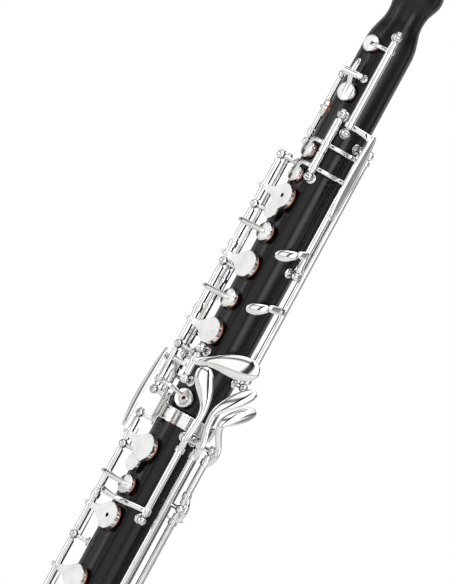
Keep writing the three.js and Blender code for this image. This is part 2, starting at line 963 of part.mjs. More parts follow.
function sideOctaveKey() {
  const low = sideOctaveFoot + postHalf;
  const high = sideOctaveTop - postHalf;
  const tube = hingeTube(sideOctaveAngle, sideOctaveRadius, low, high, wideTubeRadius);
  const armStation = low + 1.6;
  const hinge = place(sideOctaveAngle, sideOctaveRadius, armStation);
  const spatulaRadius = upperRadius + 11.7;
  const arm = ribbon(
    [
      { at: hinge, wide: 3, thick: 2.4 },
      { at: place(66, upperRadius + 9.6, armStation - 0.8), wide: 2.6, thick: 1.6 },
      { at: place(80, spatulaRadius, armStation - 1.2), wide: 3.6, thick: 1.4 },
    ],
    outward(64),
  );
  const spatula = ribbon(
    [
      { at: place(80, spatulaRadius, 157), wide: 4.5, thick: 1.2 },
      { at: place(80, spatulaRadius, 148), wide: 7.5, thick: 1.4 },
      { at: place(80, spatulaRadius, 126), wide: 8.4, thick: 1.4 },
      { at: place(80, spatulaRadius, 112), wide: 3, thick: 1.2 },
    ],
    outward(80),
  );
  const reach = ribbon(
    [
      { at: place(sideOctaveAngle, sideOctaveRadius + 0.6, sideOctaveStation), wide: 2.4, thick: 1.8 },
      { at: place(24, upperRadius + 4.4, sideOctaveStation), wide: 2.2, thick: 1.6 },
      { at: place(5, closedTop - 0.2, sideOctaveStation), wide: 2.8, thick: 1 },
    ],
    outward(26),
  );
  const padded = paddedCup(5, sideOctaveStation, tinyCup, upperSeat);
  const parts = [tube, arm, spatula, reach, padded];
  return rebored(joined(parts), sideOctaveAngle, sideOctaveRadius, low, high);
}
add("side_octave_key", sideOctaveKey(), silver);

const thumbOctaveRadius = upperRadius + thumbOctaveRise;
const thumbOctaveFoot = 141.5;
const thumbOctaveTop = 178;
add(
  "thumb_octave_rod",
  rodOnPosts(thumbOctaveAngle, thumbOctaveRadius, [thumbOctaveFoot, thumbOctaveTop]),
  steel,
);

function thumbOctaveKey() {
  const low = thumbOctaveFoot + postHalf;
  const high = thumbOctaveTop - postHalf;
  const tube = hingeTube(thumbOctaveAngle, thumbOctaveRadius, low, high, wideTubeRadius);
  const arm = ribArm(
    -45,
    thumbOctaveStation,
    closedTop,
    thumbOctaveAngle,
    thumbOctaveRadius,
    2,
  );
  const touchRadius = upperRadius + 5.2;
  const round = ribbon(
    [
      { at: place(thumbOctaveAngle, thumbOctaveRadius, 147), wide: 3, thick: 2.2 },
      { at: place(-118, upperRadius + 5.8, 145), wide: 3, thick: 1.6 },
      { at: place(-150, touchRadius + 0.2, 142), wide: 4, thick: 1.5 },
      { at: place(-178, touchRadius, 137), wide: 6, thick: 1.5 },
    ],
    outward(-130),
  );
  const touch = pebble(
    [
      { at: place(-178, touchRadius, 137), wide: 8, long: 8, thick: 2 },
      { at: place(-178, touchRadius, 112), wide: 9, long: 12, thick: 2.4 },
    ],
    outward(-178),
  );
  const padded = paddedCup(-45, thumbOctaveStation, tinyCup, upperSeat);
  const parts = [tube, arm, round, touch, padded];
  return rebored(joined(parts), thumbOctaveAngle, thumbOctaveRadius, low, high);
}
add("thumb_octave_key", thumbOctaveKey(), silver);

// The third octave key turns on a short pin that lies across the joint.
const crossAngle = 8;
const crossStation = 179.3;
const crossHeight = upperRadius + 4.2;
const crossHalf = 4.4;
const across = upAxis.clone().cross(outward(crossAngle));

function thirdOctavePivot() {
  const out = outward(crossAngle);
  const pin = disc(
    rodRadius,
    -crossHalf - 1,
    crossHalf + 1,
    8,
    place(crossAngle, crossHeight, crossStation),
    across,
  );
  const posts = [-1, 1].map((side) => {
    const from = place(0, 0, crossStation).addScaledVector(across, side * (crossHalf + 1));
    return turned(
      [
        [0, upperRadius + gap],
        [2, upperRadius + gap],
        [2, upperRadius + gap + footHeight],
        [1.1, upperRadius + gap + footHeight + 0.5],
        [1.1, crossHeight - 1],
        [1.7, crossHeight],
        [1.2, crossHeight + 1.4],
        [0, crossHeight + 1.7],
      ],
      8,
      from,
      out,
    );
  });
  return joined([pin, ...posts]);
}
add("third_octave_pivot", thirdOctavePivot(), steel);

function thirdOctaveKey() {
  const out = outward(crossAngle);
  const hinge = place(crossAngle, crossHeight, crossStation);
  const tube = ringOf(tubeBore, 1.8, -2.3, 2.3, 10, hinge, across);
  const section = (radius, station, wide, thick) => ({
    at: place(crossAngle, radius, station),
    wide,
    thick,
  });
  const arm = ribbon(
    [
      section(closedTop - 0.4, thirdOctaveStation - 2, 3.2, 1),
      section(closedTop - 0.2, thirdOctaveStation + 4, 3, 1.2),
      section(crossHeight + 0.6, crossStation - 1, 3, 1.6),
      section(crossHeight + 0.6, crossStation + 1, 3, 1.6),
      section(crossHeight - 0.2, crossStation + 8, 2.4, 1.4),
    ],
    out,
  );
  const padded = paddedCup(crossAngle, thirdOctaveStation, smallCup, upperSeat);
  const key = joined([tube, arm, padded]);
  return key.subtract(disc(tubeBore, -6, 6, 10, hinge, across));
}
add("third_octave_key", thirdOctaveKey(), silver);

// ---------------------------------------------------------------- left little finger, G sharp

const gSharpRadius = upperRadius + gSharpRise;
const gSharpPosts = [30.6, 14.5];
add("g_sharp_rod", rodOnPosts(gSharpAngle, gSharpRadius, gSharpPosts), steel);

function gSharpLever() {
  const low = gSharpPosts[1] + postHalf;
  const high = gSharpPosts[0] - postHalf;
  const tube = hingeTube(gSharpAngle, gSharpRadius, low, high);
  const neck = ribbon(
    [
      { at: place(11.8, upperRadius + 7, 24), wide: 4.4, thick: 2.6 },
      { at: place(28.7, upperRadius + 7.2, 26.4), wide: 4.2, thick: 2 },
      { at: place(45, upperRadius + 7.2, 28.6), wide: 6, thick: 1.8 },
    ],
    outward(30),
  );
  const touch = pebble(
    [
      { at: place(41.5, upperRadius + 7.1, 28.2), wide: 5, long: 6, thick: 2 },
      { at: place(80.2, upperRadius + 11.2, 32.4), wide: 9.4, long: 12, thick: 2.4 },
    ],
    outward(45),
  );
  return rebored(joined([tube, neck, touch]), gSharpAngle, gSharpRadius, low, high);
}
add("g_sharp_lever", gSharpLever(), silver);

const gSharpCupAngle = 16;
const gSharpLow = stackPosts[4] + postHalf;
const gSharpHigh = stackPosts[3] - postHalf;

function gSharpKey() {
  const tube = hingeTube(stackAngle, stackRadius, gSharpLow, gSharpHigh);
  const hinge = place(stackAngle, stackRadius, 8.4);
  const arm = ribbon(
    [
      { at: hinge, wide: 3, thick: 2.2 },
      { at: place(-20, upperRadius + 6.6, 8.4), wide: 2.4, thick: 1.6 },
      { at: place(2, closedTop + 0.5, gSharpStation + 1.4), wide: 2.4, thick: 1.4 },
      { at: place(gSharpCupAngle, closedTop - 0.2, gSharpStation), wide: 3, thick: 1 },
    ],
    outward(-10),
  );
  const lift = ribbon(
    [
      { at: place(stackAngle, stackRadius, 20.5), wide: 2.6, thick: 2 },
      { at: place(-20, upperRadius + 4.6, 20.5), wide: 2.2, thick: 1.4 },
      { at: place(-8, upperRadius + 3.4, 20.5), wide: 2.2, thick: 1.2 },
    ],
    outward(-25),
  );
  const shell = cup(gSharpCupAngle, gSharpStation, smallCup, upperSeat);
  const whole = joined([tube, arm, lift, shell]);
  const key = rebored(whole, stackAngle, stackRadius, gSharpLow, gSharpHigh);
  return hollowed(key, gSharpCupAngle, gSharpStation, smallCup, upperSeat, true);
}
add("g_sharp_key", gSharpKey(), silver);
add("g_sharp_pad", pad(gSharpCupAngle, gSharpStation, smallCup, upperSeat, true), padSkin);

// ---------------------------------------------------------------- side trill key

const sideTrillRadius = upperRadius + sideTrillRise;
const sideTrillPosts = [3, 24];
add("side_trill_rod", rodOnPosts(sideTrillAngle, sideTrillRadius, sideTrillPosts), steel);

function sideTrillKey() {
  const low = sideTrillPosts[0] + postHalf;
  const high = sideTrillPosts[1] - postHalf;
  const tube = hingeTube(sideTrillAngle, sideTrillRadius, low, high);
  const facing = outward(stackAngle);
  const arm = ribbon(
    [
      { at: place(-77, upperRadius + 6.5, 18), wide: 3, thick: 2.2 },
      { at: place(-65.4, upperRadius + 10.5, 19), wide: 3, thick: 1.8 },
      { at: place(-49.6, upperRadius + 12.7, 20), wide: 4, thick: 1.6 },
      { at: place(-41.6, upperRadius + 12.6, 20), wide: 5, thick: 1.6 },
    ],
    facing,
  );
  const blade = ribbon(
    [
      { at: place(-44.1, upperRadius + 12.6, 23), wide: 4, thick: 1.2 },
      { at: place(-43.7, upperRadius + 13.6, 8), wide: 6, thick: 1.6 },
      { at: place(-43.7, upperRadius + 14, -8), wide: 7, thick: 1.6 },
      { at: place(-43.7, upperRadius + 13.2, -20), wide: 4.6, thick: 1.2 },
    ],
    facing,
  );
  const reach = ribbon(
    [
      { at: place(sideTrillAngle, sideTrillRadius, sideTrillStation), wide: 2.4, thick: 2 },
      { at: place(-95, upperRadius + 5.2, sideTrillStation), wide: 2.2, thick: 1.6 },
      { at: place(-110, closedTop - 0.2, sideTrillStation), wide: 2.6, thick: 1 },
    ],
    outward(-94),
  );
  const padded = paddedCup(-110, sideTrillStation, tinyCup, upperSeat);
  const parts = [tube, arm, blade, reach, padded];
  return rebored(joined(parts), sideTrillAngle, sideTrillRadius, low, high);
}
add("side_trill_key", sideTrillKey(), silver);

// ---------------------------------------------------------------- lower stack

const lowerStackRadius = lowerRadius + stackRise - 0.4;
const lowerStackPosts = [-10.3, -27, -76, -109, -131, -162];
add("lower_stack_rod", rodOnPosts(stackAngle, lowerStackRadius, lowerStackPosts), steel);

const lowerStack = [
  {
    name: "f_sharp_key",
    station: fSharpStation,
    hingeStation: -21.2,
    radius: largeCup,
    low: lowerStackPosts[1] + postHalf,
    high: lowerStackPosts[0] - postHalf,
    plate: true,
    extras: [tongue(fSharpStation, largeCup, lowerTop, 6, 7.4)],
  },
  {
    name: "f_vent_key",
    station: fVentStation,
    radius: smallCup,
    low: -51,
    high: lowerStackPosts[1] - postHalf,
    plate: false,
  },
  {
    name: "e_key",
    station: eStation,
    radius: largeCup,
    low: lowerStackPosts[2] + postHalf,
    high: -51 - endPlay,
    plate: true,
    vented: true,
  },
  {
    name: "d_key",
    station: dStation,
    radius: largeCup,
    low: lowerStackPosts[3] + postHalf,
    high: lowerStackPosts[2] - postHalf,
    plate: true,
  },
];

const lowerHinge = { angle: stackAngle, radius: lowerStackRadius, turn: openTurn };
const lowerKey = (key) => stackKey({ ...key, rodRadial: lowerStackRadius, seat: lowerSeat });
for (const key of lowerStack) add(key.name, lowerKey(key), silver, lowerHinge);
for (const key of lowerStack.slice(0, 3)) {
  const padName = key.name.replace("_key", "_pad");
  add(padName, pad(0, key.station, key.radius, lowerSeat, key.vented), padSkin, lowerHinge);
}

// ---------------------------------------------------------------- left little finger levers

const leftRodRadius = lowerRadius + leftRodRise;
const flatLeverRadius = lowerRadius + flatLeverRise;
const leverHead = -10;
const flatSaddle = -41;
const fLeverPosts = [leverHead, -54];
const jointFoot = -lowerLength;
const lowBPosts = [leverHead, jointFoot + 29];
const flatLeverPosts = [leverHead, flatSaddle, jointFoot + 19];

function leftLeverRods() {
  return joined([
    rodOnPosts(fLeverAngle, leftRodRadius, fLeverPosts, lowerRadius),
    rodOnPosts(lowBAngle, leftRodRadius, lowBPosts, lowerRadius),
    rodOnPosts(flatLeverAngle, flatLeverRadius, flatLeverPosts, lowerRadius),
    web(fLeverAngle, leftRodRadius, lowBAngle, leftRodRadius, leverHead),
    web(lowBAngle, leftRodRadius, flatLeverAngle, flatLeverRadius, leverHead),
  ]);
}
add("left_lever_rods", leftLeverRods(), steel);

// A bar that carries a key's motion past a post, from its tube below to its tube or finger above.
const overPost = postBall + 1.3;
// The left little finger's touches lie beside the upper joint, on levers of the lower one.
const touchBase = Math.max(upperRadius, lowerRadius);

function leftFLever() {
  const low = fLeverPosts[1] + postHalf;
  const high = leverHead - postHalf;
  const tube = hingeTube(fLeverAngle, leftRodRadius, low, high);
  const facing = outward(stackAngle + 90);
  const head = ribbon(
    [
      { at: place(54.5, lowerRadius + 7.4, -17), wide: 3, thick: 1.8 },
      { at: place(53.3, lowerRadius + 10.3, -13), wide: 3, thick: 1.4 },
      { at: place(53.3, lowerRadius + 10.3, -6), wide: 3, thick: 1.4 },
      { at: place(53, touchBase + 8.3, 4), wide: 3, thick: 1.6 },
      { at: place(51.6, touchBase + 7.6, 10), wide: 4, thick: 1.6 },
      { at: place(43.3, touchBase + 7.1, 15.5), wide: 5.4, thick: 1.8 },
    ],
    facing,
  );
  const touch = pebble(
    [
      { at: place(43.9, touchBase + 7, 15.4), wide: 5, long: 6, thick: 2 },
      { at: place(36.5, touchBase + 6.9, 20), wide: 6.6, long: 6.6, thick: 2.4 },
    ],
    facing,
  );
  const crossing = ribbon(
    [
      { at: place(54.6, lowerRadius + 7.2, -49), wide: 3, thick: 2.4 },
      { at: place(22.8, lowerRadius + 7.9, -50), wide: 2.6, thick: 1.6 },
      { at: place(-4.6, lowerRadius + 7.7, -50.4), wide: 3, thick: 1.5 },
      { at: place(-26.2, lowerRadius + 8.5, -50), wide: 4.4, thick: 1.4 },
    ],
    outward(20),
  );
  const parts = [tube, head, touch, crossing];
  return rebored(joined(parts), fLeverAngle, leftRodRadius, low, high);
}
add("left_f_lever", leftFLever(), silver);

function lowBKey() {
  const low = lowBPosts[1] + postHalf;
  const high = leverHead - postHalf;
  const tube = hingeTube(lowBAngle, leftRodRadius, low, high);
  const outer = leftRodRadius + overPost;
  const finger = ribbon(
    [
      { at: place(lowBAngle, leftRodRadius + 0.6, -17), wide: 3, thick: 1.8 },
      { at: place(lowBAngle, outer, -13), wide: 3, thick: 1.4 },
      { at: place(lowBAngle, outer, -6), wide: 3, thick: 1.4 },
      { at: place(70.2, touchBase + 8.8, 1.5), wide: 3.6, thick: 1.6 },
      { at: place(69.5, touchBase + 8.9, 8), wide: 4.4, thick: 1.7 },
    ],
    outward(60),
  );
  const touch = pebble(
    [
      { at: place(69.6, touchBase + 8.8, 8.4), wide: 4.4, long: 6, thick: 2 },
      { at: place(98.2, touchBase + 12.4, 22.6), wide: 6.6, long: 8, thick: 2.4 },
    ],
    outward(66),
  );
  const reach = plateArm(
    112,
    lowBStation,
    lowCup,
    lowerTop,
    lowBAngle,
    leftRodRadius,
    lowBStation,
  );
  const padded = paddedCup(112, lowBStation, lowCup, lowerSeat);
  const ring = collar(lowBAngle, leftRodRadius, lowBStation);
  const parts = [tube, finger, touch, reach, padded, ring];
  return rebored(joined(parts), lowBAngle, leftRodRadius, low, high);
}
add("low_b_key", lowBKey(), silver, {
  angle: lowBAngle,
  radius: leftRodRadius,
  turn: lowOpenTurn,
});

const tailAngle = 72;
const tailRadius = 22.4;

function lowBFlatLever() {
  const low = flatLeverPosts[2] + postHalf;
  const high = leverHead - postHalf;
  const outer = flatLeverRadius + overPost;
  const upperTube = hingeTube(flatLeverAngle, flatLeverRadius, flatSaddle + postHalf, high);
  const lowerTube = hingeTube(flatLeverAngle, flatLeverRadius, low, flatSaddle - postHalf);
  const onRod = (radius, station, wide, thick) => ({
    at: place(flatLeverAngle, radius, station),
    wide,
    thick,
  });
  const saddle = ribbon(
    [
      onRod(flatLeverRadius + 0.6, flatSaddle - 7, 2.6, 1.6),
      onRod(outer, flatSaddle - 3.4, 2.6, 1.3),
      onRod(outer, flatSaddle + 3.4, 2.6, 1.3),
      onRod(flatLeverRadius + 0.6, flatSaddle + 7, 2.6, 1.6),
    ],
    outward(flatLeverAngle),
  );
  const finger = ribbon(
    [
      onRod(flatLeverRadius + 0.6, -17, 3, 1.8),
      onRod(outer, -13, 3, 1.4),
      onRod(outer - 0.4, -6, 3, 1.4),
      { at: place(86.1, touchBase + 9.8, 0), wide: 3.6, thick: 1.6 },
      { at: place(83.3, touchBase + 9.6, 4), wide: 4.4, thick: 1.7 },
    ],
    outward(80),
  );
  const touch = pebble(
    [
      { at: place(83.4, touchBase + 9.5, 4.2), wide: 4.4, long: 6, thick: 2 },
      { at: place(109, touchBase + 14.5, 15), wide: 6.6, long: 8, thick: 2.4 },
    ],
    outward(84),
  );
  const link = ribbon(
    [
      { at: place(flatLeverAngle, flatLeverRadius + 0.4, jointFoot + 26), wide: 3, thick: 2.2 },
      { at: place(86, flatLeverRadius + 0.3, jointFoot + 21.4), wide: 2.6, thick: 1.6 },
      { at: place(74, tailRadius - 2.2, jointFoot + 12), wide: 2.8, thick: 1.2 },
      { at: place(tailAngle, tailRadius - 2.4, jointFoot - 4), wide: 3, thick: 1.2 },
    ],
    outward(84),
  );
  const parts = [upperTube, lowerTube, saddle, finger, touch, link];
  return rebored(joined(parts), flatLeverAngle, flatLeverRadius, low, high);
}
add("low_b_flat_lever", lowBFlatLever(), silver);

// ---------------------------------------------------------------- bell key

const bellRodRadius = bellTopRadius + bellRodRise;
const bellPosts = [jointFoot - 36, jointFoot - 12];
add("bell_key_rod", rodOnPosts(bellRodAngle, bellRodRadius, bellPosts, bellTopRadius), steel);

function lowBFlatKey() {
  const low = bellPosts[0] + postHalf;
  const high = bellPosts[1] - postHalf;
  const seat = bellTopRadius - seatDepth;
  const station = bellKeyHeight - shoulder;
  const tube = hingeTube(bellRodAngle, bellRodRadius, low, high);
  const plate = plateArm(
    112,
    station,
    lowCup,
    cupTop(seat),
    bellRodAngle,
    bellRodRadius,
  );
  const tail = ribbon(
    [
      { at: place(bellRodAngle, bellRodRadius + 0.3, jointFoot - 18.4), wide: 3, thick: 2 },
      { at: place(79, bellRodRadius + 0.2, jointFoot - 17), wide: 2.4, thick: 1.6 },
      { at: place(tailAngle, bellRodRadius, jointFoot - 13.4), wide: 2.4, thick: 1.2 },
      { at: place(tailAngle, tailRadius, jointFoot + 4), wide: 3, thick: 1.2 },
    ],
    outward(78),
  );
  const padded = paddedCup(112, station, lowCup, seat);
  return rebored(joined([tube, plate, tail, padded]), bellRodAngle, bellRodRadius, low, high);
}
add("low_b_flat_key", lowBFlatKey(), silver, {
  angle: bellRodAngle,
  radius: bellRodRadius,
  turn: lowOpenTurn,
});

// ---------------------------------------------------------------- right little finger

const littleRadius = lowerRadius + littleRodRise;
const littlePosts = [-104.5, -126, -186];
const closedLowerTop = cupTop(lowerSeat);
add("right_little_rod", rodOnPosts(littleRodAngle, littleRadius, littlePosts), steel);

// A closed key for the right little finger: cup on the right, touch on the left of its rod.
function littleKey({ station, radius, low, high, touchStation, touchLength }) {
  const tube = hingeTube(littleRodAngle, littleRadius, low, high);
  const hinge = place(littleRodAngle, littleRadius, station);
  const touchAt = lowerRadius + 8.2;
  const reach = ribbon(
    [
      { at: hinge, wide: 3, thick: 2.2 },
      { at: place(30, lowerRadius + 5, station), wide: 2.8, thick: 1.6 },
      { at: place(45, closedLowerTop - 0.3, station), wide: 3.6, thick: 1.2 },
    ],
    outward(32),
  );
  const finger = ribbon(
    [
      { at: place(littleRodAngle, littleRadius + 0.2, touchStation), wide: 3.6, thick: 2.2 },
      { at: place(2, touchAt, touchStation), wide: 4, thick: 1.8 },
      { at: place(-8, touchAt, touchStation), wide: 5, thick: 1.8 },
    ],
    outward(0),
  );
  const touch = pebble(
    [
      { at: place(-5, touchAt, touchStation), wide: touchLength, long: 6, thick: 2.2 },
      { at: place(-19, touchAt, touchStation), wide: touchLength, long: 7, thick: 2.4 },
    ],
    outward(-12),
  );
  const padded = paddedCup(45, station, radius, lowerSeat);
  const parts = [tube, reach, finger, touch, padded];
  return rebored(joined(parts), littleRodAngle, littleRadius, low, high);
}

const eFlatKey = littleKey({
  station: eFlatStation,
  radius: smallCup,
  low: littlePosts[1] + postHalf,
  high: littlePosts[0] - postHalf,
  touchStation: -115.6,
  touchLength: 8.4,
});
add("e_flat_key", eFlatKey, silver);

const cSharpKey = littleKey({
  station: cSharpStation,
  radius: lowCup,
  low: littlePosts[2] + postHalf,
  high: littlePosts[1] - postHalf,
  touchStation: -130.6,
  touchLength: 7.6,
});
add("c_sharp_key", cSharpKey, silver);

function lowCKey() {
  const low = lowerStackPosts[5] + postHalf;
  const high = lowerStackPosts[4] - postHalf;
  const tube = hingeTube(stackAngle, lowerStackRadius, low, high);
  const plate = plateArm(0, lowCStation, lowCup, lowerTop, stackAngle, lowerStackRadius);
  const touchAt = lowerRadius + 8.2;
  const finger = ribbon(
    [
      { at: place(stackAngle, lowerStackRadius + 0.2, -140.2), wide: 3.6, thick: 2.2 },
      { at: place(-32, touchAt, -140.2), wide: 4, thick: 1.8 },
      { at: place(-22, touchAt, -140.2), wide: 5, thick: 1.8 },
    ],
    outward(-28),
  );
  const touch = pebble(
    [
      { at: place(-22, touchAt, -140.2), wide: 8, long: 6, thick: 2.2 },
      { at: place(-8, touchAt, -140.2), wide: 8, long: 6, thick: 2.4 },
    ],
    outward(-15),
  );
  const padded = paddedCup(0, lowCStation, lowCup, lowerSeat);
  const parts = [tube, plate, finger, touch, padded];
  return rebored(joined(parts), stackAngle, lowerStackRadius, low, high);
}
add("low_c_key", lowCKey(), silver, lowerHinge);

export default group;
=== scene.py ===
"""An oboe with covered finger keys: black wood, silver keys on steel rods, reddish-brown pads."""

import math

import bmesh
import bpy
from mathutils import Matrix, Vector


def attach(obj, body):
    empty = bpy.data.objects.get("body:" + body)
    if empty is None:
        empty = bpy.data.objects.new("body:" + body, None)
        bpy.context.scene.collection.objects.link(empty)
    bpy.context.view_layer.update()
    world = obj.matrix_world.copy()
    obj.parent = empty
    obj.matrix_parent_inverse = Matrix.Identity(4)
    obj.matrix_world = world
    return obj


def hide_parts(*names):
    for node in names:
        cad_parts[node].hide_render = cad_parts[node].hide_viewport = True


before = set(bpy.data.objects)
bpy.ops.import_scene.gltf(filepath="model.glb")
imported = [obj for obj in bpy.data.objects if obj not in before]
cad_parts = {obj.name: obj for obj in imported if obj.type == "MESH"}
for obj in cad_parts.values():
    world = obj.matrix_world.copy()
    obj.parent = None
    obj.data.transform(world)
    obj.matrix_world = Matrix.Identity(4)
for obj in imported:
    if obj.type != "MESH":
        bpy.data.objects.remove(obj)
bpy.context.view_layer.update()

bl_info = {
    "name": "Oboe",
    "version": (1, 0, 0),
    "blender": (4, 5, 0),
    "location": "View3D > Sidebar > Oboe",
    "description": "Builds an oboe piece by piece around its keywork frame",
    "category": "Add Mesh",
}

MM = 0.001
BODY = "oboe_body"


# ------------------------------------------------------------------ settings

def length(name, millimetres, description):
    return bpy.props.FloatProperty(
        name=name, default=millimetres * MM, description=description, unit="LENGTH", precision=5)


def tint(name, rgb, description):
    return bpy.props.FloatVectorProperty(
        name=name, default=rgb, description=description, subtype="COLOR", size=3, min=0, max=1)


def share(name, value, description):
    return bpy.props.FloatProperty(
        name=name, default=value, description=description, subtype="FACTOR", min=0, max=1)


class OboeSizes(bpy.types.PropertyGroup):
    """Sizes of the wood and of the keywork."""
    shoulder: length("Shoulder height", 355.0, "Height of the shoulder where the two joints meet")
    wood_top: length("Wood height", 590.0, "Height of the top of the upper joint")
    bell_length: length("Bell length", 110.0, "Height of the bell's top ring")
    upper_radius: length("Upper joint radius", 12.4, "Outer radius of the upper joint")
    lower_radius: length("Lower joint radius", 13.3, "Outer radius of the lower joint")
    bell_top_radius: length("Bell top radius", 15.4, "Outer radius of the top of the bell")
    bell_rim_radius: length("Bell rim radius", 29.5, "Outer radius of the bell's rim ring")
    seat_depth: length("Seat depth", 1.2, "Depth of a pad's seat below the crest of the joint")
    pad_gap: length("Pad gap", 0.15, "Gap between a shut pad and its seat")
    pad_proud: length("Pad stand-out", 1.1, "How far a pad stands out of its cup")
    cup_height: length("Cup height", 2.3, "Height of a key cup's wall")
    large_cup: length("Finger cup radius", 6.6, "Radius of a finger plate's cup")
    small_cup: length("Small cup radius", 4.8, "Radius of a small vent cup")
    tiny_cup: length("Octave cup radius", 4.3, "Radius of an octave or trill cup")
    low_cup: length("Low cup radius", 7.3, "Radius of the cups of the lowest notes")
    vent: length("Vent radius", 1.0, "Radius of the hole in a vented plate")
    rod: length("Rod radius", 1.0, "Radius of the steel rods")
    tube: length("Hinge tube radius", 1.7, "Outer radius of a key's hinge tube")
    wide_tube: length("Wide hinge tube radius", 1.95, "Outer radius of a side key's hinge tube")
    ball: length("Post ball radius", 2.3, "Radius of the ball on a post")


class OboeFinishes(bpy.types.PropertyGroup):
    """Colours of the finishes."""
    wood: tint("Wood", (0.0035, 0.0032, 0.0036), "The near-black wood")
    wood_grain: tint("Wood grain", (0.012, 0.0095, 0.009), "The paler streaks of the wood")
    silver: tint("Silver plate", (0.93, 0.925, 0.915), "The keys' silver plate")
    silver_dull: tint("Dulled silver", (0.80, 0.785, 0.76), "Handled or slightly dulled plate")
    steel: tint("Steel", (0.60, 0.605, 0.62), "Rods and screws")
    spring: tint("Spring steel", (0.06, 0.09, 0.17), "Blued needle springs")
    pad: tint("Pad skin", (0.74, 0.25, 0.15), "The skin over the pads")
    pad_dark: tint("Pad shade", (0.46, 0.10, 0.055), "The darker mottling of the pads")
    cork: tint("Cork", (0.46, 0.27, 0.13), "Tenon cork and bumpers")
    cane: tint("Cane", (0.72, 0.50, 0.22), "The reed's cane")
    thread: tint("Thread", (0.05, 0.12, 0.30), "The thread that binds the reed")
    floor: tint("Floor", (0.93, 0.93, 0.93), "The floor")


class OboeStudio(bpy.types.PropertyGroup):
    """Camera and light."""
    lean: bpy.props.FloatProperty(
        name="Lean", default=math.radians(28.5), subtype="ANGLE",
        description="How far the instrument leans to the right, as the camera sees it")
    aim_height: length("Aim height", 414.7, "Height that the camera looks at")
    aim_left: length("Aim offset", 12.95, "How far left of the bore the camera looks")
    view_height: length("View height", 278.0, "Height of what the camera sees")
    distance: length("Camera distance", 1900.0, "Distance of the camera from the bore")
    brightness: share("Brightness", 1.0, "Strength of the surrounding light")


def size(name):
    """A size from the panel, in millimetres."""
    return getattr(bpy.context.scene.oboe_sizes, name) / MM


def colour(name):
    """A colour from the panel."""
    return (*getattr(bpy.context.scene.oboe_finishes, name), 1.0)


def shaded(name, amount):
    """A colour from the panel, made darker."""
    return tuple(part * amount for part in colour(name)[:3]) + (1.0,)


# ------------------------------------------------------------------ places

UP = Vector((0, 0, 1))
RIGHT_QUARTER = Vector((math.sqrt(0.5), -math.sqrt(0.5), 0))
ACROSS = Vector((math.sqrt(0.5), math.sqrt(0.5), 0))


def outward(angle):
    """The direction out of the bore at an angle round it from the front, in degrees."""
    return Vector((math.sin(math.radians(angle)), -math.cos(math.radians(angle)), 0))


def place(angle, radius, station):
    """A point at an angle, a radius and a height above the shoulder, from millimetres."""
    return (outward(angle) * radius + UP * (size("shoulder") + station)) * MM


def quarter(across, out, station):
    """A point given as across and out for someone facing the front right quarter."""
    half = math.sqrt(0.5)
    return Vector((half * (across + out), half * (across - out), size("shoulder") + station)) * MM


def standing(angle, radius, station):
    """A frame at that place whose Z runs up the bore."""
    return Matrix.Translation(place(angle, radius, station))


def facing_out(angle, station, radius=0.0):
    """A frame at that place whose Z points out of the bore and whose Y runs up it."""
    out = outward(angle)
    turn = Matrix((UP.cross(out), UP, out)).transposed()
    return Matrix.Translation(place(angle, radius, station)) @ turn.to_4x4()


# ------------------------------------------------------------------ making shapes

def start_piece(name):
    """A new empty mesh at the origin, open for editing."""
    if bpy.context.object and bpy.context.object.mode != "OBJECT":
        bpy.ops.object.mode_set(mode="OBJECT")
    bpy.ops.object.select_all(action="DESELECT")
    piece = bpy.data.objects.new(name, bpy.data.meshes.new(name))
    bpy.context.collection.objects.link(piece)
    bpy.context.view_layer.objects.active = piece
    piece.select_set(True)
    bpy.ops.object.mode_set(mode="EDIT")
    bpy.ops.mesh.select_mode(type="VERT")
    return piece


def leave_editing():
    if bpy.context.object and bpy.context.object.mode != "OBJECT":
        bpy.ops.object.mode_set(mode="OBJECT")


def pick(*pieces):
    """Selects these objects only. The first is the active one."""
    leave_editing()
    bpy.ops.object.select_all(action="DESELECT")
    for piece in pieces:
        piece.select_set(True)
    bpy.context.view_layer.objects.active = pieces[0]


def open_mesh():
    mesh = bmesh.from_edit_mesh(bpy.context.object.data)
    mesh.verts.ensure_lookup_table()
    return mesh


def select_points(numbers):
    bpy.ops.mesh.select_all(action="DESELECT")
    mesh = open_mesh()
    for number in numbers:
        mesh.verts[number].select = True
    mesh.select_flush(True)
    bmesh.update_edit_mesh(bpy.context.object.data)


def add_ring(turn, radius, sides, flatten=1.0, spin=0.0):
    """Adds a ring of points at a frame, and returns their numbers."""
    first = len(open_mesh().verts)
    spun = turn @ Matrix.Rotation(spin, 4, "Z")
    bpy.ops.mesh.primitive_circle_add(
        vertices=sides, radius=radius, location=turn.translation, rotation=spun.to_euler())
    if abs(flatten - 1.0) > 1e-6:
        axes = [list(row) for row in turn.to_3x3().transposed()]
        bpy.ops.transform.resize(
            value=(1, flatten, 1), orient_type="LOCAL", orient_matrix=axes,
            orient_matrix_type="LOCAL", center_override=turn.translation)
    return list(range(first, first + sides))


def bridge(near, far):
    """Joins two rings point to point, in the order that both were made in."""
    mesh = open_mesh()
    count = len(near)
    for i in range(count):
        j = (i + 1) % count
        mesh.faces.new([mesh.verts[number] for number in (near[i], near[j], far[j], far[i])])
    bmesh.update_edit_mesh(bpy.context.object.data)


def close_ring(ring):
    select_points(ring)
    bpy.ops.mesh.edge_face_add()


def turned(profile, sides, turn, closed=False):
    """Turns a profile of (radius, height) in millimetres about a frame's Z in the open piece."""
    rings = []
    for radius, height in profile:
        spot = turn @ Matrix.Translation((0, 0, height * MM))
        rings.append(add_ring(spot, max(radius, 0.02) * MM, sides))
        if len(rings) > 1:
            bridge(rings[-2], rings[-1])
    if closed:
        bridge(rings[-1], rings[0])
    else:
        close_ring(rings[0])
        close_ring(rings[-1])


def point(angle, radius, station, wide, thick):
    """A section of a bar: where it is, its width and its thickness."""
    return place(angle, radius, station), wide, thick


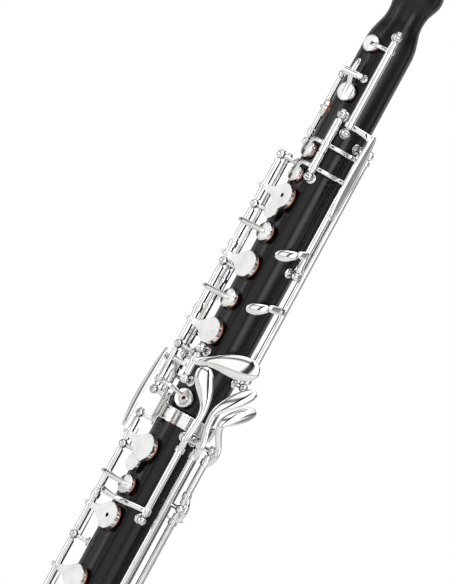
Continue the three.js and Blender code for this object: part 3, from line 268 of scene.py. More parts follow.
def spot(across, out, station, wide, thick):
    return quarter(across, out, station), wide, thick


def swept(sections, facing, sides=8, grow=1.1, spin=0.0):
    """Sweeps an oval section through the open piece. Its broad side faces a direction."""
    rings = []
    for i, (at, wide, thick) in enumerate(sections):
        before = sections[max(i - 1, 0)][0]
        after = sections[min(i + 1, len(sections) - 1)][0]
        ahead = (after - before).normalized()
        side = ahead.cross(facing).normalized()
        face = side.cross(ahead)
        turn = Matrix((side, face, -ahead)).transposed().to_4x4()
        turn = Matrix.Translation(at) @ turn
        rings.append(add_ring(turn, wide * grow / 2 * MM, sides, thick / wide, spin))
        if len(rings) > 1:
            bridge(rings[-2], rings[-1])
    close_ring(rings[0])
    close_ring(rings[-1])


def finish_mesh(piece, smooth_levels=0, bevel=0.0, smooth_angle=35):
    """Turns faces outwards, applies the piece's smoothing and shades it."""
    if bpy.context.object.mode != "EDIT":
        bpy.ops.object.mode_set(mode="EDIT")
    bpy.ops.mesh.select_all(action="SELECT")
    bpy.ops.mesh.normals_make_consistent(inside=False)
    bpy.ops.object.mode_set(mode="OBJECT")
    pick(piece)
    if bevel:
        rounding = piece.modifiers.new("Edges", "BEVEL")
        rounding.width = bevel * MM
        rounding.segments = 2
        rounding.limit_method = "ANGLE"
        rounding.angle_limit = math.radians(32)
        rounding.use_clamp_overlap = True
        bpy.ops.object.modifier_apply(modifier="Edges")
    if smooth_levels:
        smoothing = piece.modifiers.new("Smooth", "SUBSURF")
        smoothing.levels = smoothing.render_levels = smooth_levels
        bpy.ops.object.modifier_apply(modifier="Smooth")
    bpy.ops.object.shade_smooth_by_angle(angle=math.radians(smooth_angle))
    if bevel:
        flattening = piece.modifiers.new("Flat faces", "WEIGHTED_NORMAL")
        flattening.keep_sharp = True
        bpy.ops.object.modifier_apply(modifier="Flat faces")
    return piece


def joined(name, pieces):
    """Joins pieces into one object of that name."""
    pick(*pieces)
    if len(pieces) > 1:
        bpy.ops.object.join()
    whole = bpy.context.object
    whole.name = whole.data.name = name
    return whole


def swing(piece, angle, radius, degrees):
    """Turns a piece about a rod that runs up the bore, with its place kept in its mesh."""
    centre = place(angle, radius, 0)
    turn = (Matrix.Translation(centre) @ Matrix.Rotation(math.radians(degrees), 4, "Z")
            @ Matrix.Translation(-centre))
    pick(piece)
    piece.matrix_world = turn
    bpy.ops.object.transform_apply(location=True, rotation=True, scale=True)
    return piece


def combine(piece, other, way, solver="EXACT"):
    """Joins another shape to a piece or cuts it out, and throws the other away."""
    pick(piece)
    change = piece.modifiers.new("Combine", "BOOLEAN")
    change.operation = way
    change.solver = solver
    change.object = other
    bpy.ops.object.modifier_apply(modifier="Combine")
    bpy.data.objects.remove(other, do_unlink=True)


def cut(piece, tool):
    combine(piece, tool, "DIFFERENCE")


def bore_out(piece, profile, sides, turn):
    """Cuts a turned shape out of a piece."""
    tool = start_piece("Cutter")
    turned(profile, sides, turn)
    finish_mesh(tool)
    cut(piece, tool)


def fit_wood(piece, node):
    """Shades a finished piece of wood and fits it."""
    pick(piece)
    bpy.ops.object.shade_smooth_by_angle(angle=math.radians(30))
    return fit(piece, BODY, "blackwood", finish("wood"), node)


def fit(piece, body, slot, material, *nodes):
    """Gives a finished piece its material, its body and the frame nodes that it stands for."""
    piece.data.materials.clear()
    piece.data.materials.append(material)
    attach(piece, body)
    if nodes:
        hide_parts(*nodes)
    return piece


# ------------------------------------------------------------------ finishes

def new_group(name, inputs, outputs):
    group = bpy.data.node_groups.new(name, "ShaderNodeTree")
    for label, kind, value in inputs:
        socket = group.interface.new_socket(label, in_out="INPUT", socket_type=kind)
        socket.default_value = value
    for label, kind in outputs:
        group.interface.new_socket(label, in_out="OUTPUT", socket_type=kind)
    return group, group.nodes.new("NodeGroupInput"), group.nodes.new("NodeGroupOutput")


def add_node(tree, kind, **settings):
    node = tree.nodes.new(kind)
    for key, value in settings.items():
        if key.startswith("in_"):
            node.inputs[key[3:].replace("_", " ")].default_value = value
        else:
            setattr(node, key, value)
    return node


def ramp(tree, source, stops):
    """A colour ramp from (position, grey or colour) stops."""
    node = tree.nodes.new("ShaderNodeValToRGB")
    elements = node.color_ramp.elements
    while len(elements) < len(stops):
        elements.new(0.5)
    for element, (position, value) in zip(elements, stops):
        element.position = position
        element.color = value if isinstance(value, tuple) else (value, value, value, 1)
    tree.links.new(source, node.inputs["Fac"])
    return node.outputs["Color"]


def stretched_noise(tree, coordinates, scale, detail=3.0, roughness=0.55):
    mapping = add_node(tree, "ShaderNodeMapping")
    mapping.inputs["Scale"].default_value = scale
    noise = add_node(tree, "ShaderNodeTexNoise", in_Scale=1.0, in_Detail=detail)
    noise.inputs["Roughness"].default_value = roughness
    tree.links.new(coordinates, mapping.inputs["Vector"])
    tree.links.new(mapping.outputs["Vector"], noise.inputs["Vector"])
    return noise.outputs["Fac"]


def handling_group():
    """Soft smudges and fine polishing scratches, for metal that hands touch."""
    if "Handling marks" in bpy.data.node_groups:
        return bpy.data.node_groups["Handling marks"]
    group, given, made = new_group(
        "Handling marks",
        [("Vector", "NodeSocketVector", (0, 0, 0)), ("Smudge size", "NodeSocketFloat", 160.0)],
        [("Smudge", "NodeSocketFloat"), ("Scratch", "NodeSocketFloat")])
    soft = add_node(group, "ShaderNodeTexNoise", in_Detail=3.0)
    group.links.new(given.outputs["Vector"], soft.inputs["Vector"])
    group.links.new(given.outputs["Smudge size"], soft.inputs["Scale"])
    smudge = ramp(group, soft.outputs["Fac"], [(0.42, 0.0), (0.72, 1.0)])
    fine = stretched_noise(group, given.outputs["Vector"], (3200, 3200, 260), 2.0)
    group.links.new(smudge, made.inputs["Smudge"])
    group.links.new(fine, made.inputs["Scratch"])
    return group


def new_material(name):
    material = bpy.data.materials.new(name)
    material.use_nodes = True
    tree = material.node_tree
    shader = tree.nodes["Principled BSDF"]
    where = add_node(tree, "ShaderNodeTexCoord")
    return material, tree, shader, where.outputs["Object"]


def set_or_link(tree, socket, source):
    """Gives a socket a plain value, or links another node's output to it."""
    if isinstance(source, (tuple, float)):
        socket.default_value = source
    else:
        tree.links.new(source, socket)


def blend_colours(tree, amount, low, high, **settings):
    """Mixes two colours, each a plain one or another node's output."""
    mix = add_node(tree, "ShaderNodeMix", data_type="RGBA", **settings)
    sockets = [socket for socket in mix.inputs if socket.type == "RGBA"]
    for socket, source in zip(sockets, (low, high)):
        set_or_link(tree, socket, source)
    set_or_link(tree, mix.inputs["Factor"], amount)
    return [socket for socket in mix.outputs if socket.type == "RGBA"][0]


def levels(tree, source, low, high):
    """Spreads a 0 to 1 value between two values."""
    node = add_node(tree, "ShaderNodeMapRange")
    node.inputs["To Min"].default_value = low
    node.inputs["To Max"].default_value = high
    tree.links.new(source, node.inputs["Value"])
    return node.outputs["Result"]


def bump(tree, shader, height, depth_mm, strength=1.0):
    node = add_node(tree, "ShaderNodeBump", in_Strength=strength, in_Distance=depth_mm * MM)
    tree.links.new(height, node.inputs["Height"])
    tree.links.new(node.outputs["Normal"], shader.inputs["Normal"])


def wood_finish():
    """Near-black close-grained wood under an oiled polish."""
    material, tree, shader, where = new_material("Blackwood")
    streaks = stretched_noise(tree, where, (420, 420, 16), 4.0)
    pores = stretched_noise(tree, where, (2600, 2600, 120), 2.0)
    cloud = stretched_noise(tree, where, (60, 60, 9), 2.0)
    mask = ramp(tree, streaks, [(0.46, 0.0), (0.74, 1.0)])
    tree.links.new(blend_colours(tree, mask, colour("wood"), colour("wood_grain")),
                   shader.inputs["Base Color"])
    tree.links.new(levels(tree, cloud, 0.20, 0.34), shader.inputs["Roughness"])
    bump(tree, shader, ramp(tree, pores, [(0.30, 0.0), (0.46, 1.0)]), 0.012, 0.5)
    shader.inputs["IOR"].default_value = 1.38
    shader.inputs["Coat Weight"].default_value = 0.12
    shader.inputs["Coat Roughness"].default_value = 0.12
    return material


def plated_finish(name, bright, dull, polish):
    """Bright silver plate with faint smudges and polishing scratches."""
    material, tree, shader, where = new_material(name)
    marks = tree.nodes.new("ShaderNodeGroup")
    marks.node_tree = handling_group()
    marks.inputs["Smudge size"].default_value = 170.0
    tree.links.new(where, marks.inputs["Vector"])
    tree.links.new(blend_colours(tree, marks.outputs["Smudge"], bright, dull),
                   shader.inputs["Base Color"])
    tree.links.new(levels(tree, marks.outputs["Smudge"], polish, polish + 0.04),
                   shader.inputs["Roughness"])
    bump(tree, shader, marks.outputs["Scratch"], 0.0008, 0.04)
    shader.inputs["Metallic"].default_value = 1.0
    return material


def skin_finish():
    """Thin reddish-brown skin stretched over felt."""
    material, tree, shader, where = new_material("Pad skin")
    mottle = stretched_noise(tree, where, (520, 520, 520), 4.0)
    fine = stretched_noise(tree, where, (2400, 2400, 2400), 3.0)
    mask = ramp(tree, mottle, [(0.35, 0.0), (0.75, 1.0)])
    tree.links.new(blend_colours(tree, mask, colour("pad"), colour("pad_dark")),
                   shader.inputs["Base Color"])
    tree.links.new(levels(tree, fine, 0.38, 0.62), shader.inputs["Roughness"])
    bump(tree, shader, fine, 0.06, 0.6)
    shader.inputs["Sheen Weight"].default_value = 0.15
    return material


def cork_finish():
    """Sanded cork with dark flecks."""
    material, tree, shader, where = new_material("Cork")
    cells = add_node(tree, "ShaderNodeTexVoronoi", in_Scale=900.0)
    tree.links.new(where, cells.inputs["Vector"])
    flecks = stretched_noise(tree, where, (700, 700, 700), 5.0)
    dark = shaded("cork", 0.35)
    mask = ramp(tree, flecks, [(0.52, 0.0), (0.66, 1.0)])
    tree.links.new(blend_colours(tree, mask, colour("cork"), dark), shader.inputs["Base Color"])
    shader.inputs["Roughness"].default_value = 0.85
    bump(tree, shader, cells.outputs["Distance"], 0.12, 0.7)
    return material


def cane_finish():
    """Scraped cane with fibres along its length."""
    material, tree, shader, where = new_material("Cane")
    fibres = stretched_noise(tree, where, (2200, 2200, 40), 4.0)
    patches = stretched_noise(tree, where, (150, 150, 60), 3.0)
    dark = shaded("cane", 0.55)
    mask = ramp(tree, patches, [(0.40, 0.0), (0.80, 1.0)])
    tree.links.new(blend_colours(tree, mask, colour("cane"), dark), shader.inputs["Base Color"])
    tree.links.new(levels(tree, fibres, 0.40, 0.62), shader.inputs["Roughness"])
    bump(tree, shader, fibres, 0.05, 0.7)
    return material


def thread_finish():
    """Waxed thread wound in close turns, with painted shade darkening the grooves between them."""
    material, tree, shader, where = new_material("Reed thread")
    turns = add_node(tree, "ShaderNodeTexWave", wave_type="BANDS", bands_direction="Z",
                     in_Scale=520.0, in_Distortion=0.4)
    tree.links.new(where, turns.inputs["Vector"])
    # Painted shade: the bands darken the thread where the bump sinks between turns.
    dark = shaded("thread", 0.4)
    tree.links.new(blend_colours(tree, turns.outputs["Fac"], dark, colour("thread")),
                   shader.inputs["Base Color"])
    shader.inputs["Roughness"].default_value = 0.55
    bump(tree, shader, turns.outputs["Fac"], 0.12, 0.8)
    return material


FINISHES = {}


def finish(name):
    """The finish of that name, made once."""
    if name not in FINISHES:
        makers = {
            "wood": wood_finish,
            "silver": lambda: plated_finish(
                "Silver plate", colour("silver"), colour("silver_dull"), 0.05),
            "steel": lambda: plated_finish("Rod steel", colour("silver"), colour("steel"), 0.10),
            "screw": lambda: plated_finish("Screw steel", colour("steel"), colour("steel"), 0.22),
            "spring": lambda: plated_finish("Blued spring", colour("spring"), colour("steel"), 0.2),
            "pad": skin_finish,
            "cork": cork_finish,
            "cane": cane_finish,
            "thread": thread_finish,
        }
        FINISHES[name] = makers[name]()
    return FINISHES[name]


# ------------------------------------------------------------------ wood

STACK = -45         # the angle of the long finger stacks, in degrees from the front
CLEAR = 0.3         # gap between the wood and the metal that stands on it
SEAT_MARGIN = 0.9   # how far a seat is cut beyond its cup
TUBE_BORE = 1.35    # inner radius of a hinge tube
PLATE = 1.3         # thickness of a flat plate
PIN_ANGLE, PIN_STATION = 8, 179.3   # where the third octave key turns

# How far each key's rod stands above the wood
RISE = {
    "upper_stack": 8.6, "bridge": 5.1, "trill": 6.1, "side_octave": 6, "thumb_octave": 5.6,
    "third_octave": 4.2, "upper_lever": 5.8, "lower_lever": 6.4, "g_sharp": 6.2,
    "side_trill": 6.5, "lower_stack": 8.2, "left_little": 6.7, "left_b_flat": 8.2,
    "right_little": 7.4, "bell_key": 7.5,
}

# The holes of each joint: the angle, the height above the shoulder and the size of the cup
UPPER_HOLES = [
    (0, 112.7, "large_cup"), (0, 93.6, "small_cup"), (0, 76, "large_cup"),
    (0, 57.9, "small_cup"), (0, 40.3, "large_cup"), (16, 6.2, "small_cup"),
    (-10, 137.9, "tiny_cup"), (-10, 125, "tiny_cup"), (-45, 159.3, "tiny_cup"),
    (8, 170.3, "small_cup"), (5, 196, "tiny_cup"), (-110, 13, "tiny_cup"),
]
LOWER_HOLES = [
    (0, -23, "large_cup"), (0, -42.6, "small_cup"), (0, -59.7, "large_cup"),
    (0, -93, "large_cup"), (45, -112, "small_cup"), (0, -150, "low_cup"),
    (45, -173, "low_cup"), (112, -205, "low_cup"),
]


def seat(wood):
    """Radius of the floor of a pad's seat."""
    return wood - size("seat_depth")


def wood_piece(name, profile, holes, radius, node):
    """Turns a joint of the body and cuts its pad seats and tone holes."""
    piece = start_piece(name)
    turned(profile, 96, Matrix.Identity(4), closed=True)
    finish_mesh(piece)
    for angle, station, cup in holes:
        low, wide, turn = seat(radius), size(cup) + SEAT_MARGIN, facing_out(angle, station)
        bore_out(piece, [(wide, low), (wide, low + 6)], 40, turn)
        bore_out(piece, [(2.2, 2), (2.2, low - 0.5), (2.9, low + 0.3), (2.9, low + 1)], 24, turn)
    return fit_wood(piece, node)


def make_upper_joint():
    foot, top, radius = size("shoulder") + 0.3, size("wood_top"), size("upper_radius")
    profile = [
        (5.2, foot - 17.3), (7.6, foot - 17.3), (8.2, foot - 16.7), (8.2, foot),
        (radius - 0.5, foot),
        (radius, foot + 0.5), (radius, top - 36), (radius - 0.5, top - 32),
        (radius - 1.6, top - 28),
        (9.6, top - 24), (9.2, top - 21), (9.25, top - 18), (9.8, top - 15), (11.0, top - 12),
        (12.0, top - 9.5), (12.4, top - 7.2), (12.3, top - 5), (11.9, top - 3.4), (10.8, top - 3.2),
        (10.8, top), (4.4, top), (3.8, top - 0.6), (3.8, top - 21), (2.3, top - 21),
        (5.2, foot - 16.9),
    ]
    return wood_piece("Upper_joint_wood", profile, UPPER_HOLES, radius, "upper_joint")


def make_lower_joint():
    foot, top, radius = size("bell_length"), size("shoulder"), size("lower_radius")
    profile = [
        (7.9, foot - 15), (9.5, foot - 15), (10, foot - 14.5), (10, foot + 0.3), (13.7, foot + 0.3),
        (14.1, foot + 0.8), (14.1, foot + 8.5), (13.9, foot + 10), (13.4, foot + 13.4),
        (radius, foot + 15), (radius, top - 7.4), (radius, top - 0.4), (radius - 0.4, top),
        (10.2, top), (9.8, top - 0.4), (9.8, top - 18), (5.2, top - 18), (7.9, foot - 14.6),
    ]
    return wood_piece("Lower_joint_wood", profile, LOWER_HOLES, radius, "lower_joint")


def make_bell():
    rim, top, length_ = size("bell_rim_radius"), size("bell_top_radius"), size("bell_length")
    profile = [
        (19.4, 0), (rim - 2.2, 0), (rim - 1.8, 0.4), (rim - 1.8, 4.5), (rim - 1.2, 4.6),
        (rim - 1.1, 5.2), (rim - 1.8, 6.6), (26.2, 10.5), (24.2, 15.4), (22.2, 22), (20.5, 29.5),
        (19.1, 38), (17.7, 48), (16.6, 57), (15.8, 66), (top, 74), (top, length_ - 6.4),
        (top, length_ - 0.4), (top - 0.4, length_), (12, length_), (11.6, length_ - 0.4),
        (11.6, length_ - 16), (7.9, length_ - 16), (8.6, 80), (9.6, 66), (10.8, 50), (12.5, 33),
        (14.2, 20), (16.4, 9.4), (18.2, 2.6), (19, 0.5),
    ]
    piece = start_piece("Bell_wood")
    turned(profile, 96, Matrix.Identity(4), closed=True)
    finish_mesh(piece)
    turn = facing_out(112, 88 - size("shoulder"))
    for radius, low in ((size("low_cup") + SEAT_MARGIN, seat(top)), (3.7, 4)):
        bore_out(piece, [(radius, low), (radius, seat(top) + 6)], 40, turn)
    return fit_wood(piece, "bell")


def make_ring(name, inner, outer, low, high, node, grooves=()):
    """A silver band with soft edges and turned grooves at shares of its height."""
    edge = 0.35
    profile = [(inner, low), (outer - edge, low), (outer, low + edge)]
    for share_of_height in grooves:
        at = low + (high - low) * share_of_height
        profile += [(outer, at - 0.35), (outer - 0.35, at - 0.12), (outer - 0.35, at + 0.12),
                    (outer, at + 0.35)]
    profile += [(outer, high - edge), (outer - edge, high), (inner, high)]
    piece = start_piece(name)
    turned(profile, 96, Matrix.Identity(4), closed=True)
    finish_mesh(piece)
    return fit(piece, BODY, "silver", finish("silver"), node)


def make_rings():
    top, shoulder, bell = size("wood_top"), size("shoulder"), size("bell_length")
    make_ring("Reed_socket_band", 11.1, 12.6, top - 2.9, top, "reed_socket_ring", (0.5,))
    low = size("lower_radius") + CLEAR
    make_ring("Socket_band", low, low + 1.3, shoulder - 7.2, shoulder,
              "lower_joint_socket_ring", (0.18, 0.82))
    low = size("bell_top_radius") + CLEAR
    make_ring("Bell_socket_band", low, low + 1.3, bell - 6, bell, "bell_socket_ring", (0.2, 0.8))
    rim = size("bell_rim_radius")
    make_ring("Bell_rim_band", rim - 1.5, rim, 0.3, 4.2, "bell_rim_ring", (0.6,))


def make_tenon_corks():
    for name, radius, low, node in (
            ("Upper_tenon_cork", 8.5, size("shoulder") - 15, "upper_tenon_cork"),
            ("Lower_tenon_cork", 10.3, size("bell_length") - 13, "lower_tenon_cork")):
        piece = start_piece(name)
        turned([(radius, low), (radius + 0.8, low), (radius + 1, low + 0.4),
                (radius + 1, low + 10.6), (radius + 0.8, low + 11), (radius, low + 11)],
               64, Matrix.Identity(4), closed=True)
        finish_mesh(piece)
        fit(piece, BODY, "cork", finish("cork"), node)


# ------------------------------------------------------------------ reed and thumb rest

def make_reed():
    foot = size("wood_top") - 20.2
    centre = Matrix.Translation((0, 0, foot * MM))
    tube = start_piece("Reed_staple_tube")
    turned([(1.6, 24), (2.1, 24), (2.1, 26), (1.9, 47), (1.4, 47)], 40, centre, closed=True)
    finish_mesh(tube)
    fit(tube, BODY, "rod_steel", finish("steel"))
    cork = start_piece("Reed_cork")
    turned([(1.6, 0), (3.2, 0), (3.35, 0.4), (3.5, 24), (3.2, 25), (1.6, 25)], 48, centre,
           closed=True)
    finish_mesh(cork)
    fit(cork, BODY, "cork", finish("cork"), "reed_staple")
    thread = start_piece("Reed_thread")
    turns = [(2.4, 33)]
    count = 26
    for i in range(count):
        low = 33 + i * 16 / count
        bulge = 3.15 - 0.2 * i / count
        turns += [(bulge, low + 0.12), (bulge + 0.16, low + 0.3), (bulge, low + 0.5)]
    turns += [(2.4, 49)]
    turned(turns, 40, centre, closed=True)
    finish_mesh(thread, smooth_angle=60)
    fit(thread, BODY, "cane", finish("thread"))
    blades = start_piece("Reed_cane_blades")
    front = outward(0)
    for side in (-1, 1):
        swept([
            (Vector((0, side * 0.9 * MM, (foot + 46) * MM)), 4.6, 1.7),
            (Vector((0, side * 0.85 * MM, (foot + 50) * MM)), 5.0, 1.6),
            (Vector((0, side * 0.75 * MM, (foot + 56) * MM)), 5.9, 1.3),
            (Vector((0, side * 0.5 * MM, (foot + 64) * MM)), 6.6, 0.8),
            (Vector((0, side * 0.2 * MM, (foot + 71.8) * MM)), 7.0, 0.34),
        ], front, sides=16, grow=1.0)
    finish_mesh(blades, smooth_levels=1)
    fit(blades, BODY, "cane", finish("cane"), "reed_cane")


def make_thumb_rest():
    inner = size("lower_radius") + CLEAR
    piece = start_piece("Thumb_rest_plate")
    back = outward(180)
    swept([point(180, inner + 0.7, -62, 7, 1.4), point(180, inner + 0.7, -61, 9, 1.4),
           point(180, inner + 0.7, -41, 9, 1.4), point(180, inner + 0.7, -40, 7, 1.4)],
          back, sides=12, grow=1.0)
    swept([point(180, inner + 0.9, -48, 13, 2.2), point(180, inner + 5, -48, 12.6, 2.1),
           point(180, inner + 11, -47.9, 12, 2), point(180, inner + 13.2, -46.9, 11, 2),
           point(180, inner + 13.6, -43.4, 9, 1.6)], UP + back * 0.2, sides=16, grow=1.0)
    finish_mesh(piece, smooth_levels=1)
    screws = [slotted_head("Thumb_rest_screw", facing_out(180, station), 1.7, inner + 1.2, 0.7)
              for station in (-58.5, -43)]
    fit(piece, BODY, "silver", finish("silver"), "thumb_rest")
    fit(joined("Thumb_rest_screws", screws), BODY, "rod_steel", finish("screw"))


def slotted_head(name, turn, radius, low, height):
    """A round screw head with a slot sawn across it."""
    piece = start_piece(name)
    top = low + height
    turned([(radius, low), (radius, top - 0.22), (radius * 0.88, top)], 24, turn)
    finish_mesh(piece)
    saw = start_piece("Saw")
    slot = radius * 0.14
    swept([((turn @ Matrix.Translation((side * radius * 1.3 * MM, 0, top * MM))).translation,
            2 * slot, 0.9) for side in (-1, 1)],
          turn.to_3x3() @ Vector((0, 0, 1)), sides=4, grow=math.sqrt(2), spin=math.radians(45))
    finish_mesh(saw)
    cut(piece, saw)
    return piece


# ------------------------------------------------------------------ rods and posts

def rod_groups():
    """Each group's name, frame node and wood, its rods and the webs between its posts."""
    upper, lower, bell = size("upper_radius"), size("lower_radius"), size("bell_top_radius")
    stack, bridge_rod = upper + RISE["upper_stack"], upper + RISE["bridge"]
    levers = upper + RISE["upper_lever"], upper + RISE["lower_lever"]
    little, b_flat = lower + RISE["left_little"], lower + RISE["left_b_flat"]
    ground = -size("shoulder")
    return [
        ("Upper_stack_posts", "upper_stack_rods", upper,
         [(STACK, stack, (129.8, 103.1, 72.2, 27.3, 2.8)), (-57, bridge_rod, (129.8, 72.2, 27.3))],
         [(STACK, stack, -57, bridge_rod, s) for s in (129.8, 72.2, 27.3)]),
        ("Trill_posts", "trill_rod", upper, [(30, upper + RISE["trill"], (126, 159.3))], []),
        ("Side_octave_posts", "side_octave_rod", upper,
         [(48, upper + RISE["side_octave"], (152.2, 203.6))], []),
        ("Thumb_octave_posts", "thumb_octave_rod", upper,
         [(-87, upper + RISE["thumb_octave"], (141.5, 178))], []),
        ("Side_lever_posts", "side_lever_rods", upper,
         [(88, levers[0], (148.4, 81.7)), (103, levers[1], (148.4, 23.6))],
         [(88, levers[0], 103, levers[1], 148.4)]),
        ("G_sharp_posts", "g_sharp_rod", upper,
         [(10, upper + RISE["g_sharp"], (30.6, 14.5))], []),
        ("Side_trill_posts", "side_trill_rod", upper,
         [(-77, upper + RISE["side_trill"], (3, 24))], []),
        ("Lower_stack_posts", "lower_stack_rod", lower,
         [(STACK, lower + RISE["lower_stack"], (-10.3, -27, -76, -109, -131, -162))], []),
        ("Left_lever_posts", "left_lever_rods", lower,
         [(55, little, (-10, -54)), (76, little, (-10, -216)), (97, b_flat, (-10, -41, -226))],
         [(55, little, 76, little, -10), (76, little, 97, b_flat, -10)]),
        ("Little_finger_posts", "right_little_rod", lower,
         [(15, lower + RISE["right_little"], (-104.5, -126, -186))], []),
        ("Bell_key_posts", "bell_key_rod", bell,
         [(85, bell + RISE["bell_key"], (74 + ground, 98 + ground))], []),
    ]


def make_post(angle, radius, station, wood):
    """A ball post on a turned foot, in the open piece."""
    ball = size("ball")
    foot = wood + CLEAR
    arc = []
    for step in range(1, 9):
        tilt = math.radians(-64 + step * 19)
        arc.append((ball * math.cos(tilt), radius + 0.05 + ball * math.sin(tilt)))
    neck = arc[0][1]
    turned([(2.3, foot), (2.5, foot + 0.2), (2.5, foot + 0.6), (2.25, foot + 0.85),
            (1.45, foot + 1.05), (1.2, foot + 1.6), (1.05, (foot + neck) / 2), (1.2, neck - 0.3)]
           + arc, 24, facing_out(angle, station))


def make_rods():
    for name, node, wood, rods, webs in rod_groups():
        piece = start_piece(name)
        ends = []
        for angle, radius, stations in rods:
            low, high = min(stations), max(stations)
            turned([(0.8, -1.9), (1.0, -1.7), (1.0, high - low + 1.7), (0.8, high - low + 1.9)],
                   20, standing(angle, radius, low))
            for station in stations:
                make_post(angle, radius, station, wood)
            ends.append((angle, radius, high))
        for angle_a, radius_a, angle_b, radius_b, station in webs:
            swept([point(angle_a, radius_a, station, 2, 1.6),
                   point(angle_b, radius_b, station, 2, 1.6)], outward((angle_a + angle_b) / 2))
        finish_mesh(piece)
        fit(piece, BODY, "rod_steel", finish("steel"), node)
        heads = [slotted_head("Screw", standing(angle, radius, high), 1.3, size("ball") - 0.4, 0.8)
                 for angle, radius, high in ends]
        heads += [slotted_head("Screw", facing_out(angle, station), 1.15, radius + 1.75, 0.6)
                  for angle, radius, stations in rods if 0 < angle < 50 for station in stations]
        fit(joined(name + "_screws", heads), BODY, "rod_steel", finish("screw"))
    make_octave_pivot()


def octave_pin():
    """The way that the third octave key's pin lies, and a frame at its middle."""
    way = UP.cross(outward(PIN_ANGLE))
    lying = Matrix((outward(PIN_ANGLE), UP, way)).transposed().to_4x4()
    height = size("upper_radius") + RISE["third_octave"]
    return way, Matrix.Translation(place(PIN_ANGLE, height, PIN_STATION)) @ lying


def make_octave_pivot():
    """The short cross pin that the third octave key turns on."""
    upper = size("upper_radius")
    height = upper + RISE["third_octave"]
    piece = start_piece("Third_octave_posts")
    way, middle = octave_pin()
    turned([(0.8, -6.6), (1, -6.4), (1, 6.4), (0.8, 6.6)], 20, middle)
    for side in (-1, 1):
        turn = facing_out(PIN_ANGLE, PIN_STATION)
        turn = Matrix.Translation(way * side * 5.4 * MM) @ turn
        turned([(1.8, upper + CLEAR), (2, upper + 0.5), (2, upper + 0.9), (1.1, upper + 1.4),
                (1.05, height - 1.4), (1.5, height - 0.9), (1.75, height), (1.5, height + 0.9),
                (0.9, height + 1.5)], 24, turn)
    finish_mesh(piece)
    fit(piece, BODY, "rod_steel", finish("steel"), "third_octave_pivot")


# ------------------------------------------------------------------ parts of a key

def cup_foot(wood):
    """Radius of the underside of a shut pad."""
    return seat(wood) + size("pad_gap")


def cup_top(wood):
    """Radius of the top of a shut cup."""
    return cup_foot(wood) + size("pad_proud") + size("cup_height")


def turned_parts(tubes=(), collars=(), cups=()):
    """Hinge tubes (angle, radius, low, high, outer), collars and cups, as one smooth piece."""
    piece = start_piece("Turned parts")
    bore, vent = TUBE_BORE, size("vent")
    for angle, radius, low, high, outer in tubes:
        long = high - low
        turned([(bore, 0), (outer - 0.25, 0), (outer, 0.25), (outer, long - 0.25),
                (outer - 0.25, long), (bore, long)], 24, standing(angle, radius, low), closed=True)
    for angle, radius, station, thick, outer in collars:
        half = thick / 2
        turned([(bore, -half), (outer - 0.3, -half), (outer, 0.3 - half), (outer, half - 0.3),
                (outer - 0.3, half), (bore, half)], 28,
                standing(angle, radius, station), closed=True)
    for angle, station, radius, wood, kind in cups:
        foot, top = cup_foot(wood), cup_top(wood)
        roof = foot + 2.5
        outside = [(radius - 0.5, foot + 1.1), (radius - 0.15, foot + 1.1), (radius, foot + 1.25),
                   (radius, top - 0.75), (radius - 0.12, top - 0.4), (radius - 0.4, top - 0.12),
                   (radius - 0.8, top)]
        turn = facing_out(angle, station)
        if kind in ("plate", "vented plate"):
            middle = vent if kind == "vented plate" else 0
            turned([(middle, roof), (radius - 0.5, roof)] + outside[:3]
                   + [(radius, top - 0.5), (radius - 0.5, top - 0.45), (middle, top - 0.45)],
                   56, turn, closed=bool(middle))
        elif kind == "vented":
            turned([(vent, roof), (radius - 0.5, roof)] + outside
                   + [(vent + 1.5, top), (vent + 1.3, top + 0.2), (vent + 0.5, top + 0.2),
                      (vent, top - 0.2)], 56, turn, closed=True)
        else:
            turned([(0, roof), (radius - 0.5, roof)] + outside + [(0, top)], 56, turn)
    return finish_mesh(piece)


def flat_shape(flats, vent=None, edge=0.22):
    """Flat bars merged into one plate, with a vent through it and softly rounded edges."""
    made = []
    for sections, facing in flats:
        piece = start_piece("Flat")
        swept(sections, facing, sides=4, grow=math.sqrt(2), spin=math.radians(45))
        made.append(finish_mesh(piece))
    whole = made[0]
    for other in made[1:]:
        combine(whole, other, "UNION", "MANIFOLD")
    if vent:
        angle, station, low, high = vent
        tool = start_piece("Vent cutter")
        turned([(size("vent"), low), (size("vent"), high)], 28, facing_out(angle, station))
        finish_mesh(tool)
        combine(whole, tool, "DIFFERENCE", "MANIFOLD")
    pick(whole)
    return finish_mesh(whole, bevel=edge, smooth_angle=40)


def key_body(name, body, node, turned_piece, bars=(), flats=(), hinge=None, vent=None):
    """Joins a key's turned parts, its oval bars and its flat plate, and opens it on its hinge."""
    parts = [turned_piece]
    if bars:
        piece = start_piece("Bars")
        for sections, facing in bars:
            swept(sections, facing)
        parts.append(finish_mesh(piece, smooth_levels=2, smooth_angle=60))
    if flats:
        parts.append(flat_shape(flats, vent))
    whole = joined(name, parts)
    if hinge:
        swing(whole, *hinge)
    return fit(whole, body, "silver", finish("silver"), node)


def make_pad(name, body, angle, station, radius, wood, vented=False, node=None, hinge=None):
    """A skin-covered pad with a pressed ring where it meets the tone hole."""
    foot = cup_foot(wood)
    edge = radius - 0.55
    hole = size("vent")
    piece = start_piece(name)
    underside = [(2.4, foot + 0.06), (2.9, foot), (edge - 0.5, foot), (edge, foot + 0.15),
                 (edge + 0.2, foot + 0.5), (edge + 0.18, foot + 0.95), (edge, foot + 1.05),
                 (edge, foot + 2.2)]
    if vented:
        turned([(hole, foot + 0.1)] + underside + [(hole, foot + 2.2)], 48,
               facing_out(angle, station), closed=True)
    else:
        turned([(0, foot + 0.06)] + underside + [(0, foot + 2.2)], 48, facing_out(angle, station))
    finish_mesh(piece, smooth_angle=50)
    if hinge:
        swing(piece, *hinge)
    nodes = [node] if node else []
    return fit(piece, body, "pad_skin", finish("pad"), *nodes)


# ------------------------------------------------------------------ keys

